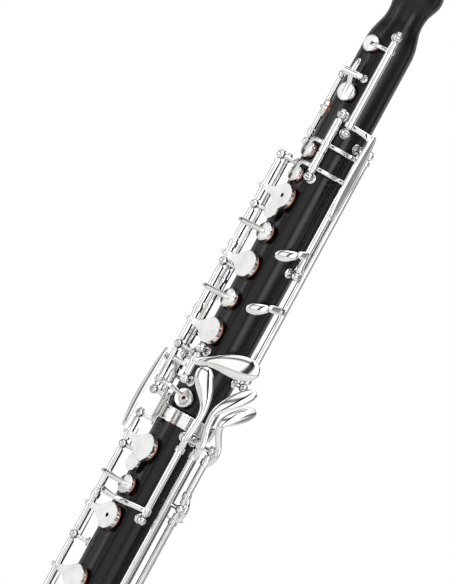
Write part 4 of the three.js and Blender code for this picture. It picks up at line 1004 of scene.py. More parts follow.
# How far the open keys stand open at rest, in degrees about their rods
OPEN = -6.0
OPEN_LOW = -7.5


def plate_arm(angle, station, radius, top, rod_angle, rod, at):
    """The flat plate of a covered key: a disc that narrows into the arm to the hinge."""
    face = outward(angle)
    centre = face * (top - PLATE / 2) * MM + UP * (size("shoulder") + station) * MM
    hinge = place(rod_angle, rod, at) + face * 0.5 * MM
    way = hinge - centre
    flat = (way - face * way.dot(face)).normalized()
    sections = []
    for degrees in (8, 18, 29, 41, 53, 65, 78, 90, 101, 112):
        along, half = -math.cos(math.radians(degrees)), math.sin(math.radians(degrees))
        sections.append((centre + flat * along * radius * MM, 2 * half * radius, PLATE))
    for along, wide in ((0.56, 1.66), (0.76, 1.36), (0.95, 1.08), (1.15, 0.84), (1.4, 0.66)):
        sections.append((centre + flat * along * radius * MM, wide * radius, PLATE))
    last = sections[-1][0]
    sections.append((last.lerp(hinge, 0.5), 3.4, 1.4))
    sections.append((hinge, 3.2, 1.7))
    sections.append((hinge + (hinge - last).normalized() * 3.6 * MM, 1.8, 1.5))
    return sections, face


def rib_arm(angle, station, top, rod_angle, rod, reach=2.5):
    """A narrow raised rib from the hinge over a small cup, ending in a point."""
    facing = outward(angle)
    hinge = place(rod_angle, rod, station) + facing * 0.6 * MM
    centre = facing * (top + 0.2) * MM + UP * (size("shoulder") + station) * MM
    way = (centre - hinge).normalized()
    return [
        (hinge - way * 4.6 * MM, 1.2, 0.8),
        (hinge - way * 3.4 * MM, 2.4, 2.6),
        (hinge, 3.1, 4.4),
        (hinge.lerp(centre, 0.35), 3.1, 4.3),
        (hinge.lerp(centre, 0.7), 2.9, 3.6),
        (centre, 2.6, 2.4),
        (centre + way * reach * 0.7 * MM, 1.9, 1.2),
        (centre + way * reach * MM, 1.1, 0.6),
    ], facing


def tongue(station, radius, top, drop, width):
    """The rounded touch that reaches down from a plate, level with it."""
    face = outward(0)
    start = face * (top - PLATE / 2) * MM + UP * (size("shoulder") + station) * MM
    way = (outward(-90) * 0.28 - UP).normalized()
    lobe = width / 2
    sections = [(start + way * along * MM, wide, PLATE) for along, wide in (
        (0, width * 1.3), (radius * 0.8, width * 1.05), (radius + 0.2, width * 0.86),
        (drop - lobe * 0.7, width * 0.9), (drop - lobe * 0.35, width * 0.97), (drop, width),
        (drop + lobe * 0.45, width * 0.89), (drop + lobe * 0.75, width * 0.66),
        (drop + lobe * 0.95, width * 0.3))]
    return sections, face


def pebble(start, end, facing, long_start=5.0, long_end=6.0):
    """A cushion-shaped finger touch between two sections."""
    (a, wide_a, thick_a), (b, wide_b, thick_b) = start, end
    way = (b - a).normalized()
    return [
        (a - way * long_start * 0.52 * MM, wide_a * 0.42, thick_a * 0.42),
        (a - way * long_start * 0.34 * MM, wide_a * 0.84, thick_a * 0.85),
        (a, wide_a, thick_a),
        (a.lerp(b, 0.5), (wide_a + wide_b) / 2, (thick_a + thick_b) / 2),
        (b, wide_b, thick_b),
        (b + way * long_end * 0.34 * MM, wide_b * 0.84, thick_b * 0.85),
        (b + way * long_end * 0.52 * MM, wide_b * 0.42, thick_b * 0.42),
    ], facing


def stack_key(name, station, cup, low, high, rod, wood, plate=True, vented=False, **more):
    """A key on one of the long finger stacks, with its pad."""
    at = more.get("at", station)
    body = name + "_key"
    top = cup_top(wood)
    hinge = (STACK, rod, OPEN)
    collars = [(STACK, rod, at, 1.8, 2.4)]
    if more.get("coupled"):
        collars.append((STACK, rod, more["coupled"], 3.2, 2.3))
    kind = "vented plate" if plate and vented else "plate" if plate else "plain"
    solid = turned_parts([(STACK, rod, low, high, size("tube"))], collars,
                         [(0, station, cup, wood, kind)])
    bars, flats, vent = [], [], None
    if plate:
        flats.append(plate_arm(0, station, cup, top, STACK, rod, at))
        vent = (0, station, top - 2.2, top + 1) if vented else None
    else:
        bars.append(rib_arm(0, station, top, STACK, rod))
    if more.get("spoon"):
        flats.append(tongue(station, cup, top, 9.4, more["spoon"]))
    key_body(body.capitalize(), body, body, solid, bars, flats, hinge, vent)
    pad_node = None if more.get("pad_joined") else name + "_pad"
    make_pad(name.capitalize() + "_pad", body, 0, station, cup, wood, vented, pad_node, hinge)
    # Painted shade: a dark tube set inside the vent hole makes the hole read dark.
    if vent:
        make_vent_shade_tube(name, body, station, top, hinge)


def make_vent_shade_tube(name, body, station, top, hinge):
    """A thin dark tube inside the hole of a vented plate: painted shade that makes the hole read
    dark.
    """
    outer = size("vent") - 0.02
    piece = start_piece(name.capitalize() + "_vent_shade_tube")
    turned([(outer - 0.3, top - 2.4), (outer, top - 2.4), (outer, top - 0.12),
            (outer - 0.3, top - 0.12)], 28, facing_out(0, station), closed=True)
    finish_mesh(piece)
    swing(piece, *hinge)
    return fit(piece, body, "blackwood", finish("wood"))


def make_upper_stack():
    wood, rod = size("upper_radius"), size("upper_radius") + RISE["upper_stack"]
    large, small = size("large_cup"), size("small_cup")
    stack_key("half_hole", 112.7, large - 0.4, 105.7, 127.2, rod, wood, vented=True, spoon=7.8)
    stack_key("c", 93.6, small, 85, 100.5, rod, wood, plate=False)
    stack_key("a", 76, large, 74.8, 84.7, rod, wood, coupled=81.6)
    stack_key("b_flat", 57.9, small, 50, 69.6, rod, wood, plate=False)
    stack_key("g", 40.3, large, 29.9, 49.7, rod, wood, coupled=46.6)


def make_lower_stack():
    wood, rod = size("lower_radius"), size("lower_radius") + RISE["lower_stack"]
    large, small = size("large_cup"), size("small_cup")
    stack_key("f_sharp", -23, large, -24.4, -12.9, rod, wood, at=-21.2, spoon=8.8)
    stack_key("f_vent", -42.6, small, -51, -29.6, rod, wood, plate=False)
    stack_key("e", -59.7, large, -73.4, -51.3, rod, wood, vented=True, coupled=-54.6)
    stack_key("d", -93, large, -106.4, -78.6, rod, wood, pad_joined=True)


def make_bridge_lever():
    """The lever that carries the lower joint's motion over to the upper joint."""
    rod = size("upper_radius") + RISE["bridge"]
    solid = turned_parts([(-57, rod, 29.9, 69.6, size("tube"))],
                         [(-57, rod, 35.2, 1.8, 2.3), (-57, rod, 64, 2.4, 2.3)])
    saddle = [
        point(-57, 18.3, 37.5, 2.4, 1.8), point(-57, 20.4, 33.6, 2.4, 1.5),
        point(-57, 21.3, 31, 2.4, 1.4), point(-57, 21.4, 27.4, 2.4, 1.4),
        point(-57, 21.1, 23.4, 2.4, 1.4), point(-57, 18.3, 18, 2.2, 1.6),
        point(-54, 15.5, 12.6, 2.2, 1.6), point(-45, 15.4, 10, 2.3, 1.6),
        point(-36, 15.8, 8, 2.4, 1.6), point(-22, 16.8, 4.6, 2.8, 1.3),
        point(-17, 16.8, 2.6, 3.2, 1.2),
    ], outward(-45)
    strap = [point(-16, 16.8, 5.2, 4.4, 1.3), point(-16, 16.8, -9.2, 4.4, 1.3)], outward(-16)
    key_body("Bridge_lever", "bridge_lever", "bridge_lever", solid, [saddle], [strap])


def trill_key(name, station, arm, low, high):
    wood = size("upper_radius")
    rod, top = wood + RISE["trill"], cup_top(wood)
    solid = turned_parts([(30, rod, low, high, size("wide_tube"))], [(30, rod, arm, 2.4, 2.6)],
                         [(-10, station, size("tiny_cup"), wood, "plain")])
    left = [
        point(30, rod + 0.6, arm, 2.2, 1.9), point(18, rod + 0.15, arm, 2.1, 1.9),
        point(6, wood + 5.1, arm + 0.1, 2.1, 1.8),
        point(0, wood + 3.6, (arm + station) / 2 + 1.4, 2.2, 1.7),
        point(-6, top - 0.1, station + 1.2, 2.4, 1.4), point(-10, top - 0.2, station, 2.8, 1.0),
        point(-15, top - 0.3, station - 1, 2.2, 0.7),
    ], outward(8)
    right = [
        point(30, rod + 0.6, arm, 2.2, 1.9), point(41, rod - 0.05, arm, 2.2, 1.7),
        point(52, wood + 5.6, arm, 2.2, 1.5), point(66, wood + 4.8, arm, 2.2, 1.3),
        point(76, wood + 4.5, arm, 2.2, 1.2),
    ], outward(50)
    key_body(name.capitalize(), name, name, solid, [left, right])
    make_pad(name.replace("key", "pad").capitalize(), name, -10, station, size("tiny_cup"), wood)


def make_trill_keys():
    trill_key("upper_trill_key", 137.9, 143.6, 139.2, 156.7)
    trill_key("lower_trill_key", 125, 131.2, 128.6, 138.9)


def trill_lever(name, angle, rod, low, high, arm, touch, fingers):
    """A long lever tube at the side with a touch at its foot and a finger at its head."""
    wood = size("upper_radius")
    solid = turned_parts([(angle, rod, low, high, size("tube"))],
                         [(angle, rod, high - 1.2, 2.4, 2.3), (angle, rod, low + 1.2, 2.4, 2.3)])
    crank = [
        point(angle, rod + 0.4, arm, 4, 2.6),
        point((angle + 78) / 2, wood + 7.9, arm - 0.2, 3.9, 2.0),
        point(78, wood + 8.1, arm - 0.8, 4, 1.6), point(68, wood + 8.0, touch + 2.6, 3.7, 1.6),
    ], outward(75)
    head = [
        point(71, wood + 7.8, touch + 2.6, 3.2, 1.5), point(66, wood + 7.6, touch + 1.4, 4.2, 1.9),
        point(59, wood + 7.2, touch, 5.4, 2.3), point(52, wood + 6.7, touch - 1.2, 5.7, 2.4),
        point(45.5, wood + 6.2, touch - 2.2, 4.6, 2.1),
        point(42, wood + 5.9, touch - 2.8, 2.3, 1.3),
    ], outward(58)
    key_body(name.capitalize(), name, name, solid, [crank, head, fingers])


def make_trill_levers():
    wood = size("upper_radius")
    rod = wood + RISE["upper_lever"]
    upper_finger = [
        point(88, 18.7, 143.6, 2.2, 1.8), point(77, 19.4, 143.6, 2.2, 1.5),
        point(66, 19.1, 143.6, 2.4, 1.3),
    ], outward(77)
    trill_lever("upper_trill_lever", 88, rod, 84.3, 145.8, 93, 88.6, upper_finger)
    lower_finger = [
        point(103, 19.5, 131.2, 2.2, 1.8), point(94, 21.3, 131.2, 2.2, 1.6),
        point(88, 21.6, 131.2, 2.2, 1.5), point(82, 21.3, 131.2, 2.2, 1.5),
        point(66, 19.2, 131.2, 2.4, 1.3),
    ], outward(84)
    trill_lever("lower_trill_lever", 103, rod + 0.6, 26.2, 145.8, 64, 60, lower_finger)


def make_side_octave_key():
    wood = size("upper_radius")
    rod = wood + RISE["side_octave"]
    solid = turned_parts([(48, rod, 154.8, 201, size("wide_tube"))],
                         [(48, rod, 196, 2.4, 2.5), (48, rod, 156.4, 2.8, 2.5)],
                         [(5, 196, size("tiny_cup"), wood, "plain")])
    arm = [
        point(48, 18.6, 156.4, 3, 2.4), point(57, 20.6, 156.2, 2.8, 2),
        point(66, 22.2, 155.9, 2.8, 1.7), point(74, 23.6, 155.6, 3.2, 1.5),
        point(80, 24.1, 154.4, 4, 1.4),
    ], outward(65)
    spatula = [
        point(80, 24.1, 157.6, 2.0, 1.1), point(80, 24.1, 156, 3.4, 1.4),
        point(80, 24.1, 149, 4.8, 1.7), point(80, 24.1, 140, 6.0, 1.9),
        point(80, 24.1, 130, 6.3, 1.9), point(80, 24.1, 121, 5.2, 1.7),
        point(80, 24.1, 115, 3.2, 1.4), point(80, 24.1, 112.2, 1.4, 0.9),
    ], outward(80)
    reach = [
        point(48, 19, 196, 2.4, 2), point(36, 18.2, 196, 2.2, 1.9), point(24, 16.8, 196, 2.2, 1.8),
        point(14, 15.4, 196, 2.4, 1.5), point(5, 14.6, 196, 2.8, 1),
    ], outward(26)
    key_body("Side_octave_key", "side_octave_key", "side_octave_key", solid, [arm, spatula, reach])
    make_pad("Side_octave_pad", "side_octave_key", 5, 196, size("tiny_cup"), wood)


def make_thumb_octave_key():
    wood = size("upper_radius")
    rod, top = wood + RISE["thumb_octave"], cup_top(wood)
    solid = turned_parts([(-87, rod, 144.1, 175.4, size("tube"))],
                         [(-87, rod, 159.3, 2, 2.3), (-87, rod, 147, 2.4, 2.3)],
                         [(-45, 159.3, size("tiny_cup"), wood, "plain")])
    crank = [
        point(-87, 18.1, 147, 3, 2.2), point(-104, 18.5, 146, 3, 1.8),
        point(-118, 18.2, 145, 3, 1.6),
        point(-134, 18.1, 143.7, 3.4, 1.5), point(-150, 17.8, 142, 4, 1.5),
        point(-166, 17.7, 139.6, 5, 1.5), point(-178, 17.6, 136.4, 6, 1.4),
    ], outward(-132)
    touch = [
        point(-178, 17.6, 138.4, 4.4, 1.1), point(-178, 17.7, 136.2, 7.6, 1.5),
        point(-178, 17.8, 130, 8.6, 1.6), point(-178, 17.8, 120, 9, 1.6),
        point(-178, 17.7, 113.8, 8.2, 1.5), point(-178, 17.6, 111.4, 4.6, 1.1),
    ], outward(-178)
    rib = rib_arm(-45, 159.3, top, -87, rod, 2.0)
    key_body("Thumb_octave_key", "thumb_octave_key", "thumb_octave_key", solid, [crank, touch, rib])
    make_pad("Thumb_octave_pad", "thumb_octave_key", -45, 159.3, size("tiny_cup"), wood)


def make_third_octave_key():
    wood = size("upper_radius")
    piece = start_piece("Turned parts")
    turned([(TUBE_BORE, -4.4), (1.6, -4.4), (1.8, -4.2), (1.8, 4.2), (1.6, 4.4),
            (TUBE_BORE, 4.4)], 24, octave_pin()[1], closed=True)
    finish_mesh(piece)
    cup = turned_parts(cups=[(8, 170.3, size("small_cup"), wood, "plain")])
    arm = [
        point(8, 14.3, 167.6, 2.2, 0.8), point(8, 14.5, 170, 3.2, 1.1),
        point(8, 14.7, 173.4, 3, 1.3),
        point(8, 15.4, 175.6, 3, 1.6), point(8, 17, 178, 3, 1.7), point(8, 17.3, 180.3, 3, 1.6),
        point(8, 16.9, 184, 2.8, 1.5), point(8, 16.4, 187.3, 2.2, 1.2),
    ], outward(8)
    solid = joined("Turned parts", [piece, cup])
    key_body("Third_octave_key", "third_octave_key", "third_octave_key", solid, [arm])
    make_pad("Third_octave_pad", "third_octave_key", 8, 170.3, size("small_cup"), wood)


def make_g_sharp_keys():
    wood = size("upper_radius")
    top = cup_top(wood)
    solid = turned_parts([(10, wood + RISE["g_sharp"], 17.1, 28, size("tube"))],
                         [(10, wood + RISE["g_sharp"], 24.6, 3, 2.3)])
    touch = [
        spot(-10.6, 16.2, 24, 4.2, 2.4), spot(-8.2, 17.8, 25.2, 4.2, 2.3),
        spot(-5.5, 18.9, 26.4, 4.6, 2.3), spot(-2, 19.5, 27.9, 6.0, 2.4),
        spot(1.6, 19.6, 29.2, 8.6, 2.8), spot(5.6, 19.6, 30.2, 11.0, 3.2),
        spot(9.6, 19.5, 31.3, 12.2, 3.4), spot(13.6, 19.4, 32.4, 11.6, 3.2),
        spot(17, 19.2, 33.3, 9.0, 2.6), spot(19.4, 19.1, 33.9, 4.6, 1.6),
    ], RIGHT_QUARTER
    key_body("G_sharp_lever", "g_sharp_lever", "g_sharp_lever", solid, [touch])
    rod = wood + RISE["upper_stack"]
    solid = turned_parts([(STACK, rod, 5.4, 24.7, size("tube"))], [(STACK, rod, 8.4, 3, 2.4)],
                         [(16, 6.2, size("small_cup"), wood, "vented")])
    reach = [
        point(STACK, 21.1, 8.4, 3, 2.2), point(-33, 20.4, 8.4, 2.6, 1.8),
        point(-20, 19, 8.4, 2.4, 1.6), point(-8, 17.2, 8.2, 2.4, 1.5),
        point(2, 15.4, 7.6, 2.4, 1.4),
        point(10, top - 0.2, 6.7, 2.8, 1.1), point(15, top - 0.35, 6.2, 3, 0.9),
    ], outward(-14)
    lift = [
        point(STACK, 21, 20.5, 3, 2.0), point(-33, 19.5, 20.5, 2.6, 1.6),
        point(-20, 17.1, 20.5, 2.4, 1.4), point(-8, 15.9, 20.5, 2.8, 1.2),
    ], outward(-25)
    key_body("G_sharp_key", "g_sharp_key", "g_sharp_key", solid, [reach, lift])
    make_pad("G_sharp_pad", "g_sharp_key", 16, 6.2, size("small_cup"), wood, True, "g_sharp_pad")


def make_side_trill_key():
    wood = size("upper_radius")
    rod = wood + RISE["side_trill"]
    solid = turned_parts([(-77, rod, 5.6, 21.4, size("tube"))],
                         [(-77, rod, 18, 2.6, 2.3), (-77, rod, 13, 2.2, 2.3)],
                         [(-110, 13, size("tiny_cup"), wood, "plain")])
    crank = [
        spot(-16, -10, 18, 3, 2.2), spot(-19.4, -9.4, 18.5, 3, 2), spot(-21.9, -7.8, 19, 3, 1.8),
        spot(-24.2, -4.6, 19.6, 3.4, 1.7), spot(-25, -1.4, 20, 4, 1.6),
        spot(-25, 1.4, 20, 4.6, 1.5),
    ], outward(-75)
    blade = [
        spot(-24.9, 0.3, 23.4, 2.4, 1), spot(-25.1, 0.4, 21.6, 4.2, 1.2),
        spot(-26, 0.6, 8, 6.1, 1.5), spot(-26.4, 0.6, -2, 6.9, 1.55),
        spot(-26.3, 0.6, -9, 6.9, 1.5),
        spot(-25.8, 0.6, -17, 5.4, 1.3), spot(-25.6, 0.6, -19.8, 2.8, 1.0),
    ], outward(-20)
    reach = [
        point(-77, 19.1, 13, 2.4, 2), point(-86, 18.6, 13, 2.2, 1.7),
        point(-95, 17.6, 13, 2.2, 1.6),
        point(-103, 16, 13, 2.4, 1.3), point(-110, 14.6, 13, 2.8, 1),
    ], outward(-95)
    key_body("Side_trill_key", "side_trill_key", "side_trill_key", solid, [crank, blade, reach])
    make_pad("Side_trill_pad", "side_trill_key", -110, 13, size("tiny_cup"), wood)


def make_left_little_keys():
    wood = size("lower_radius")
    rod = wood + RISE["left_little"]
    solid = turned_parts([(55, rod, -51.4, -12.6, size("tube"))],
                         [(55, rod, -49, 3, 2.4), (55, rod, -16, 3, 2.4)])
    finger = [
        spot(3.4, 20.4, -17, 3, 1.9), spot(3.4, 22.2, -15, 3, 1.6), spot(3.4, 23.4, -12.6, 3, 1.4),
        spot(3.6, 23.7, -9, 3, 1.4), spot(4.1, 23.3, -5.6, 3, 1.4), spot(4.6, 22.2, 0, 3.1, 1.7),
        spot(4.6, 21.4, 4, 3.4, 2), spot(3.9, 20.9, 8, 4.4, 2.2), spot(2.0, 20.5, 12, 6.6, 2.4),
        spot(-0.4, 20.3, 15.6, 8.8, 2.8), spot(-2.6, 20.1, 19, 9.6, 3.0),
        spot(-4.2, 20, 22, 8.2, 2.6), spot(-5.0, 19.9, 24.2, 4.4, 1.6),
    ], RIGHT_QUARTER
    crossing = [
        spot(3.4, 20.2, -49, 3, 2.4), spot(-3, 20.4, -49.4, 2.7, 1.9),
        spot(-8, 19.6, -50, 2.6, 1.6),
        spot(-12.6, 17, -50.2, 2.6, 1.5), spot(-16, 13.6, -50.4, 2.8, 1.5),
        spot(-18.8, 10, -50.2, 3.4, 1.4), spot(-20.4, 7.2, -50, 3.9, 1.3),
    ], outward(0)
    key_body("Left_f_lever", "left_f_lever", "left_f_lever", solid, [finger, crossing])

    top = cup_top(wood)
    solid = turned_parts([(76, rod, -213.4, -12.6, size("tube"))],
                         [(76, rod, -205, 3.2, 2.4), (76, rod, -16, 3, 2.4)],
                         [(112, -205, size("low_cup"), wood, "plate")])
    finger = [
        point(76, 20.6, -17, 3, 2.1), point(76, 22.4, -15, 3, 1.8), point(76, 23.6, -12.6, 3, 1.5),
        point(76, 23.9, -9, 3, 1.5), point(75, 23.2, -5.6, 3.1, 1.5),
        spot(10.2, 20.6, -1.6, 3.3, 1.6),
        spot(9.6, 20.1, 3, 3.5, 1.7), spot(9.6, 20.1, 6.6, 3.8, 1.8), spot(10.6, 20, 9.4, 4.6, 2),
        spot(12.8, 19.4, 12.6, 6.0, 2.4), spot(15.4, 18.3, 16, 7.0, 2.8),
        spot(18.2, 16.8, 19.6, 7.2, 2.8), spot(20.8, 15.3, 22.9, 6.0, 2.4),
        spot(22.4, 14.4, 25.0, 3.2, 1.5),
    ], RIGHT_QUARTER
    key_body("Low_b_key", "low_b_key", "low_b_key", solid,
             [finger], [plate_arm(112, -205, size("low_cup"), top, 76, rod, -205)],
             (76, rod, OPEN_LOW))
    make_pad("Low_b_pad", "low_b_key", 112, -205, size("low_cup"), wood,
             hinge=(76, rod, OPEN_LOW))

    rod = wood + RISE["left_b_flat"]
    solid = turned_parts([(97, rod, -38.4, -12.6, size("tube")),
                          (97, rod, -223.4, -43.6, size("tube"))],
                         [(97, rod, -219, 3, 2.4), (97, rod, -48, 3, 2.3), (97, rod, -34, 3, 2.3),
                          (97, rod, -16, 3, 2.3)])
    saddle = [
        point(97, 22.1, -48, 2.6, 2), point(97, 24.2, -45.8, 2.6, 1.6),
        point(97, 25.2, -43.4, 2.6, 1.4),
        point(97, 25.5, -41, 2.6, 1.4), point(97, 25.2, -38.6, 2.6, 1.4),
        point(97, 24.2, -36.2, 2.6, 1.6), point(97, 22.1, -34, 2.6, 2),
    ], outward(97)
    finger = [
        point(97, 22.1, -17, 3, 2.1), point(97, 24, -15, 3, 1.8), point(97, 25.2, -12.6, 3, 1.5),
        point(97, 25.4, -9, 3, 1.5), point(95, 24.6, -5.8, 3, 1.5), spot(16.4, 17.0, -2, 3.3, 1.6),
        spot(14.9, 17.8, 1.4, 3.6, 1.8), spot(14.9, 17.9, 4, 4.2, 2),
        spot(16.6, 17.3, 6.4, 5.6, 2.3),
        spot(19.2, 16.0, 9.2, 6.9, 2.7), spot(22.2, 14.2, 12.2, 7.2, 2.8),
        spot(24.9, 12.5, 15.1, 6.0, 2.4), spot(26.6, 11.4, 17.0, 3.2, 1.5),
    ], RIGHT_QUARTER
    link = [
        point(97, 21.9, -219, 3, 2.2), point(92, 22, -221, 2.8, 1.9),
        point(86, 21.8, -223.6, 2.6, 1.6),
        point(79, 21.1, -228, 2.6, 1.4), point(74, 20.3, -233, 2.8, 1.2),
        point(72, 20.0, -240, 2.8, 1.2), point(72, 20.0, -249, 2.8, 1.2),
    ], outward(83)
    key_body("Low_b_flat_lever", "low_b_flat_lever", "low_b_flat_lever", solid,
             [saddle, finger, link])


def make_bell_key():
    wood = size("bell_top_radius")
    rod, top = wood + RISE["bell_key"], cup_top(wood)
    ground = -size("shoulder")
    station = 88 + ground
    solid = turned_parts([(85, rod, 76.6 + ground, 95.4 + ground, size("tube"))],
                         [(85, rod, 88 + ground, 3, 2.4), (85, rod, 92 + ground, 2.4, 2.4)],
                         [(112, station, size("low_cup"), wood, "plate")])
    tail = [
        point(85, 23.2, 91.6 + ground, 3, 2), point(79, 23.2, 93 + ground, 2.5, 1.7),
        point(74, 23.1, 95 + ground, 2.5, 1.4), point(72, 22.9, 98 + ground, 2.6, 1.2),
        point(72, 22.6, 106 + ground, 2.8, 1.2), point(72, 22.4, 114 + ground, 2.8, 1.2),
    ], outward(78)
    key_body("Low_b_flat_key", "low_b_flat_key", "low_b_flat_key", solid,
             [tail], [plate_arm(112, station, size("low_cup"), top, 85, rod, station)],
             (85, rod, OPEN_LOW))
    make_pad("Low_b_flat_pad", "low_b_flat_key", 112, station, size("low_cup"), wood,
             hinge=(85, rod, OPEN_LOW))


def little_key(name, station, cup, low, high, touch, long_):
    """A right little-finger key: a shut cup on the right, and an oval touch at the front."""
    wood = size("lower_radius")
    rod, top = wood + RISE["right_little"], cup_top(wood)
    solid = turned_parts([(15, rod, low, high, size("tube"))],
                         [(15, rod, touch, 3, 2.3), (15, rod, station, 3, 2.3)],
                         [(45, station, cup, wood, "plain")])
    reach = [
        point(15, rod + 0.1, station, 3, 2.2), point(23, rod - 0.9, station, 2.8, 1.9),
        point(30, wood + 5, station, 2.8, 1.6), point(38, wood + 3.5, station, 3.2, 1.4),
        point(44, top - 0.2, station, 3.8, 1.1), point(52, top - 0.2, station, 3.2, 0.9),
    ], outward(32)
    finger = [
        point(15, rod + 0.2, touch, 3.6, 2.2), point(8, wood + 8, touch, 3.7, 1.9),
        point(2, wood + 8.2, touch, 4, 1.8), point(-8, wood + 8.2, touch, 5, 1.8),
    ], outward(0)
    head = pebble(point(-5, wood + 8.2, touch, long_, 2.2),
                  point(-19, wood + 8.2, touch, long_, 2.4),
                  outward(-12), 6, 7)
    key_body(name.capitalize(), name, name, solid, [reach, finger, head])
    make_pad(name.replace("key", "pad").capitalize(), name, 45, station, cup, wood)


def make_right_little_keys():
    wood = size("lower_radius")
    little_key("e_flat_key", -112, size("small_cup"), -123.4, -107.1, -115.6, 8.4)
    little_key("c_sharp_key", -173, size("low_cup"), -183.4, -128.6, -130.6, 7.6)
    rod, top = wood + RISE["lower_stack"], cup_top(wood)
    solid = turned_parts([(STACK, rod, -159.4, -133.6, size("tube"))],
                         [(STACK, rod, -150, 3, 2.4), (STACK, rod, -140.2, 3, 2.4)],
                         [(0, -150, size("low_cup"), wood, "plate")])
    finger = [
        point(STACK, 21.7, -140.2, 3.4, 2.2), point(-38, 21.7, -140.2, 3.4, 1.9),
        point(-32, 21.5, -140.2, 3.6, 1.8), point(-22, 21.5, -140.2, 4.4, 1.8),
    ], outward(-33)
    head = pebble(point(-22, 21.5, -140.2, 7.6, 2.2), point(-8, 21.5, -140.2, 8, 2.4),
                  outward(-15), 6, 6)
    hinge = (STACK, rod, OPEN)
    key_body("Low_c_key", "low_c_key", "low_c_key", solid,
             [finger, head], [plate_arm(0, -150, size("low_cup"), top, STACK, rod, -150)], hinge)
    make_pad("Low_c_pad", "low_c_key", 0, -150, size("low_cup"), wood, hinge=hinge)


# ------------------------------------------------------------------ springs

def needle_springs():
    """Each spring's angle and radius, the height of its post, and its length along the rod."""
    upper, lower = size("upper_radius"), size("lower_radius")
    upper_stack, lower_stack, little = upper + 5.6, lower + 5.2, lower + 4.6
    return [
        (STACK, upper_stack, 103.1, 14), (STACK, upper_stack, 129.8, -15),
        (STACK, upper_stack, 72.2, -11), (STACK, upper_stack, 27.3, 14),
        (STACK, upper_stack, 2.8, 13), (-57, upper + 2.6, 72.2, -18),
        (30, upper + 3.4, 126, 9), (48, upper + 3.2, 203.6, -18),
        (-87, upper + 2.8, 178, -15), (88, upper + 3, 81.7, 17),
        (103, upper + 3.4, 23.6, 18), (STACK, lower_stack, -27, 10),
        (STACK, lower_stack, -76, 15), (STACK, lower_stack, -109, 16),
        (STACK, lower_stack, -162, 14), (55, lower + 3.9, -54, 18),
        (76, lower + 3.9, -216, 6), (97, lower_stack, -226, 11),
        (15, little, -126, -14), (15, little, -186, 18),
    ]


def make_springs():
    piece = start_piece("Needle_springs")
    for angle, radius, station, long_ in needle_springs():
        start = place(angle, radius, station)
        side = outward(angle + 90)
        end = start + UP * long_ * MM + side * 1.0 * MM
        swept([(start, 0.7, 0.7), (start.lerp(end, 0.5), 0.55, 0.55), (end, 0.3, 0.3)],
              outward(angle), sides=8, grow=1.0)
    finish_mesh(piece, smooth_angle=60)
    fit(piece, BODY, "rod_steel", finish("spring"))


# ------------------------------------------------------------------ studio

WHITE = (1.0, 1.0, 1.0, 1.0)


def area_light(name, at, target, width, height, power):
    leave_editing()
    direction = (Vector(target) - Vector(at)).normalized()
    turn = direction.to_track_quat("-Z", "Y").to_euler()
    bpy.ops.object.light_add(type="AREA", location=at, rotation=turn)
    lamp = bpy.context.object
    lamp.name = name
    lamp.data.shape = "RECTANGLE"
    lamp.data.size, lamp.data.size_y = width, height
    lamp.data.energy = power


SENSOR = 36


def make_camera(studio):
    """A camera that faces the front right quarter, turned to let the instrument lean."""
    lean = studio.lean
    right = ACROSS * math.cos(lean) + UP * math.sin(lean)
    up = UP * math.cos(lean) - ACROSS * math.sin(lean)
    aim = ACROSS * -studio.aim_left + UP * studio.aim_height
    turn = Matrix((right, up, RIGHT_QUARTER)).transposed().to_euler()
    leave_editing()
    bpy.ops.object.camera_add(location=aim + RIGHT_QUARTER * studio.distance, rotation=turn)
    camera = bpy.context.object
    camera.name = "Camera"
    camera.data.sensor_fit = "VERTICAL"
    camera.data.sensor_height = SENSOR
    camera.data.lens = SENSOR * studio.distance / studio.view_height
    camera.data.clip_start, camera.data.clip_end = 0.05, 20
    bpy.context.scene.camera = camera


def make_world(studio):
    """A pale room with dark screens at the sides, which a mirror finish shows as crisp lines."""
    world = bpy.data.worlds.new("Studio")
    bpy.context.scene.world = world
    world.use_nodes = True
    tree = world.node_tree
    where = add_node(tree, "ShaderNodeTexCoord")

    def along(direction):
        dot = add_node(tree, "ShaderNodeVectorMath", operation="DOT_PRODUCT")
        dot.inputs[1].default_value = direction
        tree.links.new(where.outputs["Generated"], dot.inputs[0])
        share = add_node(tree, "ShaderNodeMapRange")
        share.inputs["From Min"].default_value = -1
        tree.links.new(dot.outputs["Value"], share.inputs["Value"])
        return share.outputs["Result"]

    depth = along(-RIGHT_QUARTER)
    across = along(ACROSS)
    front = ramp(tree, across, [
        (0.0, 0.96), (0.06, 0.96), (0.09, 0.30), (0.12, 0.30), (0.15, 1.08), (0.21, 0.16),
        (0.25, 0.14), (0.29, 1.08), (0.55, 1.10), (0.575, 0.05), (0.63, 0.04), (0.655, 0.92),
        (0.86, 0.95), (0.90, 0.22), (0.97, 0.30), (1.0, 0.30)])
    back_left = ramp(tree, depth, [(0.5, 0.94), (0.64, 0.94), (0.68, 0.10), (0.74, 0.08),
                                   (0.82, 0.80), (0.95, 0.42)])
    back_right = ramp(tree, depth, [(0.5, 0.90), (0.60, 0.80), (0.65, 0.08), (0.75, 0.07),
                                    (0.83, 0.80), (0.95, 0.42)])
    side = ramp(tree, across, [(0.46, 0.0), (0.54, 1.0)])
    behind = ramp(tree, depth, [(0.46, 0.0), (0.54, 1.0)])
    walls = blend_colours(tree, behind, front, blend_colours(tree, side, back_left, back_right))
    height = ramp(tree, along((0, 0, 1)), [
        (0.0, 0.75), (0.30, 0.80), (0.42, 1.0), (0.66, 1.0), (0.70, 0.22), (0.76, 0.20),
        (0.80, 1.0)])
    room = blend_colours(tree, 1.0, walls, height, blend_type="MULTIPLY")
    seen = add_node(tree, "ShaderNodeLightPath")
    backdrop = blend_colours(tree, seen.outputs["Is Camera Ray"], room, WHITE)
    background = tree.nodes["Background"]
    tree.links.new(backdrop, background.inputs["Color"])
    background.inputs["Strength"].default_value = studio.brightness


